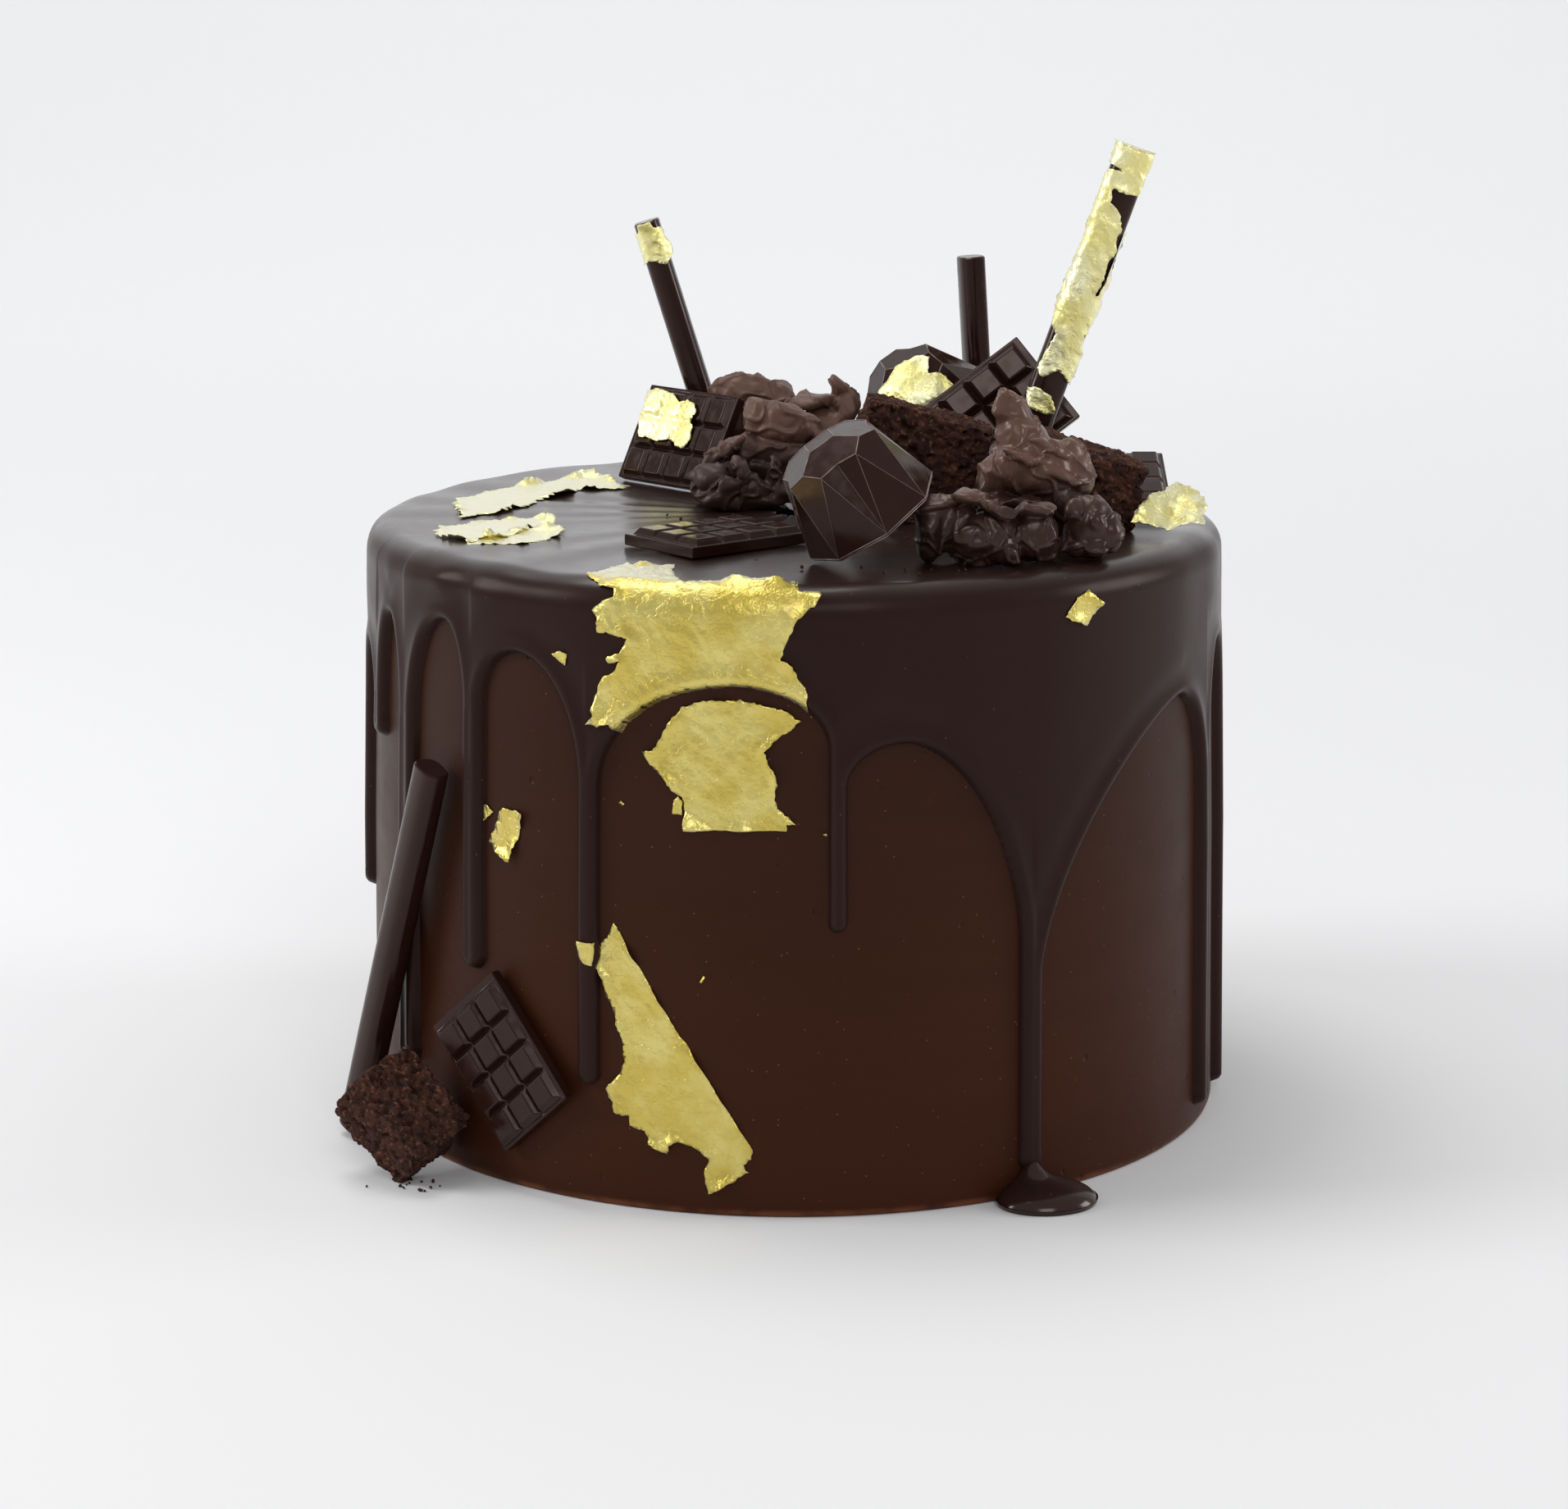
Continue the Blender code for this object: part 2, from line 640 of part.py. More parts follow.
def make_gold(finish):
    """Every leaf of gold large enough to stand as a piece of its own, cut into cells."""
    cells_on_glaze, cells_on_side, cells_on_top = (5.0, 4.0), (5.0, 12.0), (8.0, 12.0)
    cells_of_crumple = (0.09, 0.2)
    for name, outline in LEAVES_ON_GLAZE.items():
        make_leaf(name, outline, on_glaze, cells_on_glaze, finish)
    for name, outline in LEAVES_ON_SIDE.items():
        make_leaf(name, outline, on_bare_side, cells_on_side, finish)
    for name, outline in LEAVES_ON_TOP.items():
        make_leaf(name, outline, on_top, cells_on_top, finish)
    make_leaf("gold_crumple", CRUMPLE_OUTLINE, crumpled, cells_of_crumple, finish)


def make_sticks(finish):
    """Four moulded sticks: three stand in the toppings, one leans on the side."""
    top = TOP_HEIGHT / MM
    front = Vector((0.0, -1.0, 0.0))
    sideways = Vector((1.0, 0.0, 0.3))
    turned = Vector((-0.97, -0.24, 0.0))
    side = around(-52.0, 1.0, 0.0)
    sticks = {
        "stick_left": ((-18.0, 56.4, top + 2.6), (-37.8, 56.4, 209.8), sideways),
        "stick_middle": ((48.4, 56.0, top + 1.8), (44.8, 56.0, 201.0), turned),
        "stick_right": ((51.0, -3.0, top + 3.4), (81.2, -3.0, 231.4), front),
        "stick_side": ((-105.0, -45.2, 1.8), (-82.2, -69.2, 96.4), side),
    }
    for name, (foot, tip, facing) in sticks.items():
        make_stick(name, Vector(foot) * MM, Vector(tip) * MM, facing, finish)


def lean(yaw, tilt):
    """Directions of a leaning tablet: along its length, and up its leaning width."""
    turn, slope = math.radians(yaw), math.radians(tilt)
    along = Vector((-math.cos(turn), math.sin(turn), 0.0))
    back = Vector((math.sin(turn), math.cos(turn), 0.0))
    return along, back * math.sin(slope) + Vector((0.0, 0.0, math.cos(slope)))


def make_tablets(finish):
    """Five tablets: four among the toppings and one stuck to the side."""
    top = TOP_HEIGHT / MM + GAP / MM
    left = Vector((-20.6, 26.6, top)) * MM
    make_tablet("tablet_left", left, *lean(47.7, 27.0), finish)
    flat = math.radians(40.0)
    make_tablet(
        "tablet_front",
        Vector((3.2, -46.8, top)) * MM,
        Vector((-math.cos(flat), -math.sin(flat), 0.0)),
        Vector((-math.sin(flat), math.cos(flat), 0.0)),
        finish,
    )
    outwards = around(-38.9, 1.0, 0.0)
    sideways = around(51.1, 1.0, 0.0)
    roll = math.radians(41.4)
    rise = Vector((0.0, 0.0, 1.0))
    across = sideways * math.cos(roll) + rise * math.sin(roll)
    along = -sideways * math.sin(roll) + rise * math.cos(roll)
    middle = outwards * (radius_of_core(0.03) + 1.1 * MM) + rise * 30.0 * MM
    corner = middle - across * (TABLET_WIDTH / 2) - along * (TABLET_LENGTH / 2)
    make_tablet("tablet_side", corner, along, across, finish)
    tip, slope = math.radians(37.7), math.radians(20.0)
    upright = Vector((0.0, math.sin(slope), math.cos(slope)))
    level = Vector((1.0, 0.0, 0.0))
    along = level * math.cos(tip) + upright * math.sin(tip)
    across = level * math.sin(tip) - upright * math.cos(tip)
    lowest = Vector((43.4, 10.0, top + 0.9)) * MM
    make_tablet("tablet_back", lowest - across * TABLET_WIDTH, along, across, finish)
    edge = Vector((91.6, 2.2, top)) * MM
    make_tablet("tablet_edge", edge, *lean(0.0, 71.0), finish)


# Gem bonbons: centre of the girdle, axis, and roll in degrees
GEMS = {
    "gem_front": ((17.3, -69.1, 153.4), (-0.554, -0.177, 0.814), 36.3),
    "gem_back": ((37.4, 38.0, 160.6), (-0.60, -0.58, 0.55), 60.0),
}

# Broken coated pieces: centre, radii, detail, roughness, turn, lobes by direction
CHUNKS = {
    "cluster_peak": (
        (54.8, -49.0, 158.6), (11.8, 9.8, 13.4), 4, 0.26, (0, 0, 0),
        (
            ((-0.62, -0.2, 1.0), 0.46, 16.0), ((0.85, 0.0, 0.55), 0.22, 8.0),
            ((0.5, -0.6, -0.4), 0.12, 6.0), ((-0.9, -0.1, 0.1), 0.14, 9.0),
        ),
    ),
    "cluster_front": (
        (45.8, -72.0, 150.0), (14.2, 7.6, 7.6), 4, 0.24, (0, 8, 0),
        (
            ((-1.0, -0.2, 0.6), 0.26, 9.0), ((0.1, -0.7, -0.8), 0.2, 7.0),
            ((1.0, -0.1, 0.3), 0.12, 8.0), ((0.15, 0.0, 1.0), 0.12, 9.0),
        ),
    ),
    "cluster_nub": (
        (66.4, -64.6, 149.7), (6.2, 5.6, 6.9), 3, 0.2, (0, 0, 0),
        (((0.2, -0.3, 1.0), 0.15, 5.0),),
    ),
    "cluster_left": (
        (-6.6, 18.0, 155.2), (9.4, 7.0, 11.2), 3, 0.26, (0, 0, 0),
        (((-0.5, -0.2, 1.0), 0.22, 8.0), ((1.0, -0.1, 0.75), 0.35, 8.0)),
    ),
    "cluster_back": (
        (-9.6, 45.0, 156.6), (10.6, 6.4, 13.6), 2, 0.12, (0, 0, 0),
        (((0.8, 0.0, 0.75), 0.2, 6.0), ((-0.8, 0.0, 0.8), 0.2, 6.0)),
    ),
    "cluster_middle": (
        (8.4, 33.0, 156.6), (8.0, 6.6, 11.6), 3, 0.24, (0, 0, 0),
        (((0.35, 0.0, 1.0), 0.34, 12.0), ((-1.0, 0.0, 0.6), 0.25, 8.0)),
    ),
    "curl_left": (
        (-11.6, 4.4, 148.8), (10.6, 5.0, 6.2), 3, 0.3, (0, 0, 0),
        (((-1.0, 0.0, 0.3), 0.2, 8.0), ((0.9, -0.2, 0.1), 0.15, 8.0)),
    ),
    "shard_left": (
        (-20.8, 13.4, 151.6), (2.4, 3.6, 9.8), 2, 0.16, (0, 28, 35),
        (((0.0, 0.0, 1.0), 0.1, 6.0),),
    ),
}

# Pieces of brownie on the top: centre and half sizes in mm, turn in degrees, seed
BROWNIES = {
    "brownie_back": ((29.4, -8.0, 156.2), (15.4, 8.4, 13.0), (0, 15, 4), 1),
    "brownie_right": ((67.0, -22.6, 153.4), (13.6, 8.2, 9.4), (4, 20, 6), 2),
}


def make_toppings(chocolate, coated, sponge):
    """The heap of gems, broken pieces and brownie on the top, and the brownie at the foot."""
    for name, (centre, axis, roll) in GEMS.items():
        make_gem(name, Vector(centre) * MM, Vector(axis).normalized(), roll, chocolate)
    for seed, (name, values) in enumerate(CHUNKS.items(), 1):
        centre, radii, detail, rough, turn, lobes = values
        make_chunk(name, centre, radii, lobes, seed, detail, rough, coated, turn)
    for name, (centre, half, turn, seed) in BROWNIES.items():
        make_brownie(name, centre, half, turn, seed, sponge, TOP_HEIGHT + GAP)
    clear = BASE_RADIUS + 2 * GAP
    foot = (-90.5, -74.5, 14.3)
    make_brownie("brownie_foot", foot, (11.8, 9.0, 7.8), (23, 41, -26), 3, sponge, 0.0, clear)


def main():
    for old in list(bpy.data.objects):
        bpy.data.objects.remove(old, do_unlink=True)
    noise.seed_set(NOISE_SEED)
    ganache = material("ganache", (0.045, 0.014, 0.008), 0.45)
    glaze = material("glaze", (0.040, 0.020, 0.018), 0.3)
    chocolate = material("dark chocolate", (0.040, 0.018, 0.013), 0.3)
    coated = material("coated crunch", (0.110, 0.066, 0.052), 0.45)
    sponge = material("brownie", (0.030, 0.010, 0.006), 0.9)
    gold = material("gold leaf", (0.62, 0.54, 0.16), 0.3, 1.0)
    make_cake(ganache)
    make_glaze(glaze)
    make_drip_pool(glaze)
    make_sticks(chocolate)
    make_tablets(chocolate)
    make_toppings(chocolate, coated, sponge)
    make_gold(gold)


main()
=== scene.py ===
# %% [markdown]
# # A chocolate drip cake with gold leaf
# The solid model of this cake fixes where every piece is and how large it is. This script gives
# each piece the fine form and the finish of the real one, and sets up the light and the camera.
# Lengths inside the functions are millimetres, which suit a cake; Blender itself works in metres.
# The noise that shapes the rough pieces starts from one seed, so the cake comes out alike each time.

# %% Load the frame
import math

import bmesh
import bpy
import numpy as np
from mathutils import Euler, Matrix, Vector, noise
from mathutils.bvhtree import BVHTree


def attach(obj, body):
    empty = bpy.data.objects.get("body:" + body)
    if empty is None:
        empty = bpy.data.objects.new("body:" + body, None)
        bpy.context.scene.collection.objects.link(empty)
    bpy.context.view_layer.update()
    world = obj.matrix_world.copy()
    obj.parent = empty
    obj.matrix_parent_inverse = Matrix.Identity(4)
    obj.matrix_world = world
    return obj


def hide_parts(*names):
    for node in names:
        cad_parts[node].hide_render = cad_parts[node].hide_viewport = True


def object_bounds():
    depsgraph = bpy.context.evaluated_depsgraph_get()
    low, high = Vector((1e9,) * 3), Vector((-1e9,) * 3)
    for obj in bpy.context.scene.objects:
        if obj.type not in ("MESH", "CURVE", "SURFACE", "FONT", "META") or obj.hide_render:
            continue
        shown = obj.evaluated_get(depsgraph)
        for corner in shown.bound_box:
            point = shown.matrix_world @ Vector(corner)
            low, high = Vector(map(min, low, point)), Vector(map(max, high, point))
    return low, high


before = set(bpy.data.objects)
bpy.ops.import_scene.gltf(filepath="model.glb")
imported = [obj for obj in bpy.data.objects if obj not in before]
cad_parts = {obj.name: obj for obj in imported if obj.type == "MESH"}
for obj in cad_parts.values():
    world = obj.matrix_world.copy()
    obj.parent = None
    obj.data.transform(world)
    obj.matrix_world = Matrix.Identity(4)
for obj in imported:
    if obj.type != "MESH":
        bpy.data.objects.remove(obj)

MM = 0.001
NOISE_SEED = 1
noise.seed_set(NOISE_SEED)
solid_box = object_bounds()
print("frame:", len(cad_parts), "solid nodes")

# %% [markdown]
# ## The camera
# The cake is seen from a little above, with a long lens from nearly a metre away, so its sides stay
# almost straight. The focal length is given in pixels of a frame FRAME_WIDTH pixels wide, which
# turns into a lens length once the sensor's width is chosen.

# %% Camera
FRAME_WIDTH = 1912
FOCAL_PIXELS = 4505.0
AXIS_COLUMN = 968.3
SENSOR_WIDTH = 36.0
CAMERA_BACK = 887.5
CAMERA_UP = 284.4
CAMERA_DOWN_DEGREES = 12.795

lens = bpy.data.cameras.new("camera")
lens.sensor_fit = "HORIZONTAL"
lens.sensor_width = SENSOR_WIDTH
lens.lens = SENSOR_WIDTH * FOCAL_PIXELS / FRAME_WIDTH
lens.shift_x = (FRAME_WIDTH / 2 - AXIS_COLUMN) / FRAME_WIDTH
lens.clip_start = 0.05
camera = bpy.data.objects.new("camera", lens)
camera.location = (0.0, -CAMERA_BACK * MM, CAMERA_UP * MM)
camera.rotation_euler = (math.radians(90.0 - CAMERA_DOWN_DEGREES), 0.0, 0.0)
bpy.context.collection.objects.link(camera)
bpy.context.scene.camera = camera
print("camera: lens", round(lens.lens, 1), "mm")

# %% [markdown]
# ## Light and backdrop
# Dark glossy chocolate shows what stands round it more than it shows its own colour. Large soft
# panels above and beside the cake give it broad milky highlights, and a pale seamless floor keeps
# the surroundings plain. The world gives the cake only a dim, even white light, or the chocolate
# would look grey.

# %% Backdrop and lights
WORLD_GLOW = 0.45
FLOOR_FRONT = -2.6
FLOOR_BACK = 1.3
SWEEP = 0.9
WALL_TOP = 3.2
AIM = (0.0, 0.0, 0.1)
# Each light: where it hangs, its side in metres and its power in watts
LIGHTS = {
    "light above": ((-0.35, 0.3, 1.5), 0.7, 7.0),
    "light right": ((1.5, 0.1, 0.6), 0.6, 7.0),
    "light left": ((-1.4, -0.1, 0.8), 0.6, 10.0),
    "light front": ((0.4, -2.0, 1.5), 0.9, 10.0),
}


def backdrop_mesh():
    """A floor that curves up into a wall a long way behind the cake."""
    outline = [(FLOOR_FRONT, 0.0), (FLOOR_BACK, 0.0)]
    for step in range(1, 13):
        turn = math.pi / 2 * step / 12
        outline.append((FLOOR_BACK + SWEEP * math.sin(turn), SWEEP - SWEEP * math.cos(turn)))
    outline.append((FLOOR_BACK + SWEEP, WALL_TOP))
    points = [(x, y, z) for y, z in outline for x in (-WALL_TOP, WALL_TOP)]
    faces = [(2 * i, 2 * i + 1, 2 * i + 3, 2 * i + 2) for i in range(len(outline) - 1)]
    mesh = bpy.data.meshes.new("backdrop")
    mesh.from_pydata(points, [], faces)
    mesh.shade_smooth()
    return mesh


def light_panel(name, place, size, power):
    """A square soft light at place, turned to the middle of the cake."""
    panel = bpy.data.lights.new(name, "AREA")
    panel.size = size
    panel.energy = power
    holder = bpy.data.objects.new(name, panel)
    holder.location = place
    holder.rotation_euler = (Vector(AIM) - Vector(place)).to_track_quat("-Z", "Y").to_euler()
    bpy.context.collection.objects.link(holder)


backdrop = bpy.data.objects.new("backdrop", backdrop_mesh())
bpy.context.collection.objects.link(backdrop)
for name, values in LIGHTS.items():
    light_panel(name, *values)
bpy.context.scene.view_settings.view_transform = "Standard"

world = bpy.data.worlds.new("studio")
bpy.context.scene.world = world
world.use_nodes = True
sky = world.node_tree.nodes["Background"]
sky.inputs["Color"].default_value = (1.0, 1.0, 1.0, 1.0)
sky.inputs["Strength"].default_value = WORLD_GLOW
print("backdrop and", len(LIGHTS), "soft lights")

# %% [markdown]
# ## Finishes from nodes
# Every finish here is worked out by nodes, so it has no seams and no picture behind it. Two small
# classes make the recipes short. A Value is one number that varies over the surface: Python's own
# operators on it add Math nodes. A Finish is one material, and its node method makes any other node.


# %% A number in a finish
class Value:
    """One number in a finish. Its operators build Math nodes."""

    def __init__(self, finish, socket):
        self.finish = finish
        self.socket = socket

    def calculated(self, operation, first, second):
        return self.finish.value("ShaderNodeMath", {"operation": operation}, {0: first, 1: second})

    def __add__(self, other):
        return self.calculated("ADD", self, other)

    def __sub__(self, other):
        return self.calculated("SUBTRACT", self, other)

    def __rsub__(self, other):
        return self.calculated("SUBTRACT", other, self)

    def __mul__(self, other):
        return self.calculated("MULTIPLY", self, other)

    __radd__ = __add__
    __rmul__ = __mul__


# %% A finish
WARM_SHEEN = (1.0, 0.80, 0.74, 1.0)


class Finish:
    """A material whose nodes are made one call at a time."""

    def __init__(self, name, roughness, metallic=0.0, **constants):
        self.material = bpy.data.materials.new(name)
        self.material.use_nodes = True
        self.tree = self.material.node_tree
        self.shader = self.tree.nodes["Principled BSDF"]
        self.shader.inputs["Roughness"].default_value = roughness
        self.shader.inputs["Metallic"].default_value = metallic
        for key, value in constants.items():
            self.shader.inputs[key.replace("_", " ")].default_value = value
        self.place = self.node("ShaderNodeTexCoord").outputs["Object"]
        self.relief = None

    def node(self, kind, settings=None, inputs=None):
        """A node of this kind, with its settings made first and then its inputs fed."""
        made = self.tree.nodes.new(kind)
        for key, value in (settings or {}).items():
            setattr(made, key, value)
        for key, value in (inputs or {}).items():
            self.feed(made.inputs[key], value)
        return made

    def feed(self, socket, value):
        """Links a value or an output to the socket, or sets a constant on it."""
        source = value.socket if isinstance(value, Value) else value
        if isinstance(source, bpy.types.NodeSocket):
            self.tree.links.new(source, socket)
        else:
            socket.default_value = source

    def value(self, kind, settings=None, inputs=None, output=0):
        return Value(self, self.node(kind, settings, inputs).outputs[output])

    def stretched(self, across, along, up):
        """The place on the piece with its three directions scaled."""
        inputs = {0: self.place, 1: (across, along, up)}
        return self.node("ShaderNodeVectorMath", {"operation": "MULTIPLY"}, inputs).outputs[0]

    def coordinate(self, axis):
        """The place along one axis, 0 to 2, in metres."""
        return self.value("ShaderNodeSeparateXYZ", None, {0: self.place}, output=axis)

    def cloud(self, size, detail=3.0, place=None):
        """Soft random patches about size mm wide, from 0 to 1."""
        inputs = {"Vector": place or self.place, "Scale": 1000.0 / size, "Detail": detail}
        return self.value("ShaderNodeTexNoise", None, inputs)

    def cells(self, size):
        """Distance to the nearest of many scattered points about size mm apart."""
        inputs = {"Vector": self.place, "Scale": 1000.0 / size}
        return self.value("ShaderNodeTexVoronoi", None, inputs)

    def ramp(self, value, low, high):
        """From 0 at low to 1 at high, with soft ends."""
        inputs = {"Value": value, "From Min": low, "From Max": high}
        return self.value("ShaderNodeMapRange", {"interpolation_type": "SMOOTHSTEP"}, inputs)

    def blend(self, share, first, second):
        """A colour between two others."""
        made = self.node("ShaderNodeMix", {"data_type": "RGBA"}, {0: share, 6: first, 7: second})
        return made.outputs[2]

    def colour(self, value):
        self.feed(self.shader.inputs["Base Color"], value)

    def roughness(self, value):
        self.feed(self.shader.inputs["Roughness"], value)

    def bump(self, height, depth, strength=1.0):
        """Raises the surface by height times depth mm, on top of any bump made before."""
        inputs = {"Height": height, "Distance": depth * MM, "Strength": strength}
        if self.relief:
            inputs["Normal"] = self.relief
        self.relief = self.node("ShaderNodeBump", None, inputs).outputs[0]
        self.feed(self.shader.inputs["Normal"], self.relief)


def rgb(red, green, blue):
    """A colour for a socket, from its linear parts."""
    return (red, green, blue, 1.0)


paper = Finish("pale floor", 0.9, Specular_IOR_Level=0.1, Emission_Strength=1.0)
paper.colour(paper.blend(paper.cloud(400.0), rgb(0.80, 0.80, 0.81), rgb(0.82, 0.82, 0.83)))
far = paper.ramp(paper.coordinate(1), 0.3, 1.6)
wall_glow = paper.blend(far, rgb(0.0, 0.0, 0.0), rgb(0.23, 0.235, 0.24))
paper.feed(paper.shader.inputs["Emission Color"], wall_glow)
backdrop.data.materials.append(paper.material)
print("finish helpers ready")

# %% [markdown]
# ## Ganache and glaze
# The side is ganache drawn smooth with a palette knife: a satin red-brown, with faint level drags,
# a few pits and tiny specks. The glaze over it is a darker plum brown and glossier. Both are dark,
# so a small change of roughness shows more than a change of colour.


# %% Ganache
def ganache_finish():
    finish = Finish("ganache", 0.4, Specular_IOR_Level=0.11, Specular_Tint=WARM_SHEEN)
    drags = finish.cloud(26.0, 4.0, finish.stretched(0.35, 0.35, 3.0))
    mottle = finish.cloud(9.0, 5.0)
    height = finish.coordinate(2)
    # Painted warm bounce light: the lower colour, warmer and more orange, stands in for warm light
    # thrown up onto the foot of the side, and fades out by 105 mm up.
    upper = finish.blend(drags, rgb(0.030, 0.0110, 0.0060), rgb(0.039, 0.0142, 0.0078))
    lower = finish.blend(drags, rgb(0.036, 0.0102, 0.0042), rgb(0.048, 0.0135, 0.0056))
    warm = finish.blend(finish.ramp(height, 0.015, 0.105), lower, upper)
    specks = 1 - finish.ramp(finish.cells(3.2), 0.04, 0.075)
    speckled = finish.blend(specks * 0.8, warm, rgb(0.20, 0.060, 0.028))
    smear = (1 - finish.ramp(height, 0.0007, 0.0022)) * finish.ramp(mottle, 0.3, 0.6)
    finish.colour(finish.blend(smear * 0.8, speckled, rgb(0.180, 0.060, 0.025)))
    finish.roughness(0.33 + 0.16 * mottle)
    finish.bump(drags, 0.25)
    finish.bump(mottle, 0.12)
    pits = finish.ramp(finish.cells(13.0), 0.02, 0.075)
    finish.bump(pits, 0.35)
    return finish


ganache = ganache_finish()
print("made", ganache.material.name)


# %% Glaze
def glaze_finish(name, shine, dullness):
    finish = Finish(
        name, 0.3, Specular_IOR_Level=shine, Specular_Tint=WARM_SHEEN, Coat_Roughness=0.26,
    )
    height = finish.coordinate(2)
    finish.feed(finish.shader.inputs["Coat Weight"], finish.ramp(height, 0.1395, 0.1428) * 0.8)
    mottle = finish.cloud(34.0, 4.0)
    bloom = finish.cloud(6.0, 4.0)
    base = finish.blend(mottle, rgb(0.0190, 0.0082, 0.0066), rgb(0.0260, 0.0118, 0.0098))
    specks = 1 - finish.ramp(finish.cells(5.0), 0.025, 0.05)
    finish.colour(finish.blend(specks * 0.7, base, rgb(0.17, 0.055, 0.035)))
    finish.roughness(dullness + 0.12 * bloom)
    finish.bump(finish.cloud(14.0, 2.0), 0.10)
    finish.bump(bloom, 0.02)
    return finish


glaze = glaze_finish("chocolate glaze", 0.12, 0.25)
wet_glaze = glaze_finish("thick wet glaze", 0.45, 0.10)
print("made", glaze.material.name, "and", wet_glaze.material.name)

# %% [markdown]
# ## Moulded chocolate, dipped pieces and brownie
# Chocolate from a polished mould is the shiniest thing here, with a few scuffs. The dipped pieces
# are waxy, because their coat set in the open air, and their colour is painted paler towards their
# tops as painted light from above, with a few paler patches. The brownie is cake crumb: almost
# black, matt and full of holes, with only its crust a little shiny.


# %% Chocolate, dipped pieces, brownie
def chocolate_finish():
    finish = Finish("moulded chocolate", 0.2, Specular_IOR_Level=0.28, Specular_Tint=WARM_SHEEN)
    scuffs = finish.cloud(3.0, 6.0)
    mottle = finish.cloud(16.0, 3.0)
    finish.colour(finish.blend(mottle, rgb(0.0150, 0.0052, 0.0036), rgb(0.0250, 0.0088, 0.0062)))
    finish.roughness(0.10 + 0.16 * finish.ramp(scuffs, 0.35, 0.75))
    finish.bump(scuffs, 0.015)
    finish.bump(mottle, 0.06)
    return finish


def dipped_finish():
    finish = Finish("dipped chocolate", 0.34, Specular_IOR_Level=0.42, Specular_Tint=WARM_SHEEN)
    mottle = finish.cloud(5.0, 5.0)
    front = finish.coordinate(1)
    height = finish.coordinate(2)
    # Painted light: the colour grows paler with height, from 150 to 166 mm, so the tops of the pieces
    # look lit from above; the noise only breaks up where it starts.
    pale = finish.ramp(finish.cloud(14.0, 3.0) * 0.3 + finish.ramp(height, 0.150, 0.166), 0.25, 1.0)
    dull = finish.blend(mottle, rgb(0.022, 0.0092, 0.0064), rgb(0.036, 0.0160, 0.0115))
    finish.colour(finish.blend(pale, dull, rgb(0.110, 0.0580, 0.0420)))
    finish.roughness(0.22 + 0.14 * mottle + 0.16 * finish.ramp(front, -0.06, 0.0))
    finish.bump(mottle, 0.06)
    finish.bump(finish.cloud(1.2, 3.0), 0.015)
    return finish


def brownie_finish():
    finish = Finish("brownie", 0.85, Specular_IOR_Level=0.2)
    grain = finish.cloud(1.6, 6.0)
    crumbs = finish.ramp(finish.cloud(1.1, 4.0), 0.56, 0.68)
    warm = finish.ramp(finish.cloud(4.0, 4.0), 0.42, 0.7)
    dark = finish.blend(grain, rgb(0.013, 0.0052, 0.0040), rgb(0.060, 0.0240, 0.0170))
    crust = finish.blend(warm * 0.6, dark, rgb(0.095, 0.036, 0.020))
    finish.colour(finish.blend(crumbs * 0.7, crust, rgb(0.220, 0.082, 0.045)))
    finish.bump(grain, 0.5)
    finish.bump(finish.cells(1.6), 0.5)
    return finish


# Painted highlights: a pale, shiny chocolate colour for the thin rods along the gem's edges, which
# stand for the bright lines of light on them.
def edge_highlight_finish():
    finish = Finish("worn chocolate", 0.3, Specular_IOR_Level=0.6)
    worn = finish.cloud(3.0, 3.0)
    finish.colour(finish.blend(worn, rgb(0.090, 0.0480, 0.0360), rgb(0.340, 0.2500, 0.2100)))
    finish.roughness(0.2 + 0.2 * worn)
    return finish


chocolate = chocolate_finish()
edge_highlight_chocolate = edge_highlight_finish()
dipped = dipped_finish()
brownie = brownie_finish()
print("made", chocolate.material.name, dipped.material.name, brownie.material.name)


# %% [markdown]
# ## Gold leaf
# Leaf is real metal beaten so thin that it takes every crease. Pale gold is nearer lemon than
# orange. Two sizes of crinkle bend its reflections: broad folds and a fine hammered grain.


# %% Gold leaf
def gold_finish(name, dark, light, dullness):
    finish = Finish(name, 0.3, 1.0, Coat_Weight=0.6, Coat_Roughness=0.25)
    folds = finish.cloud(4.0, 4.0)
    grain = finish.cloud(0.9, 4.0)
    worn = finish.ramp(finish.cloud(9.0, 4.0), 0.35, 0.7)
    # Painted reflection: seen edge-on, the leaf's colour turns pale cream, as if it mirrored the white
    # surroundings.
    facing = finish.value("ShaderNodeLayerWeight", None, {"Blend": 0.5}, output=1)
    metal = finish.blend(worn, dark, light)
    finish.colour(finish.blend(finish.ramp(facing, 0.45, 0.85), metal, rgb(0.92, 0.90, 0.66)))
    finish.roughness(dullness + 0.24 * grain)
    from_fold = finish.value("ShaderNodeMath", {"operation": "ABSOLUTE"}, {0: folds - 0.5})
    crease = finish.ramp(from_fold, 0.0, 0.03)
    finish.bump(folds, 0.32)
    finish.bump(crease, 0.05)
    finish.bump(grain, 0.17)
    return finish


gold = gold_finish("gold leaf", rgb(0.64, 0.50, 0.09), rgb(0.76, 0.65, 0.20), 0.26)
# A paler copy of the gold leaf, for the leaves on the top, on the sticks, on a bonbon and on a tablet:
# painted reflection of the white backdrop.
gold_with_painted_reflection = gold_finish("bright gold leaf", rgb(0.88, 0.80, 0.30), rgb(0.96, 0.93, 0.58), 0.34)
print("made", gold.material.name, "and", gold_with_painted_reflection.material.name)

# %% [markdown]
# ## Mesh helpers
# Most pieces are grids of points worked out with numpy, which is quick even for a fine grid. Each
# finished piece rides on the model's one body and hides the solid nodes that it stands for; a piece
# made for one node is named after it.


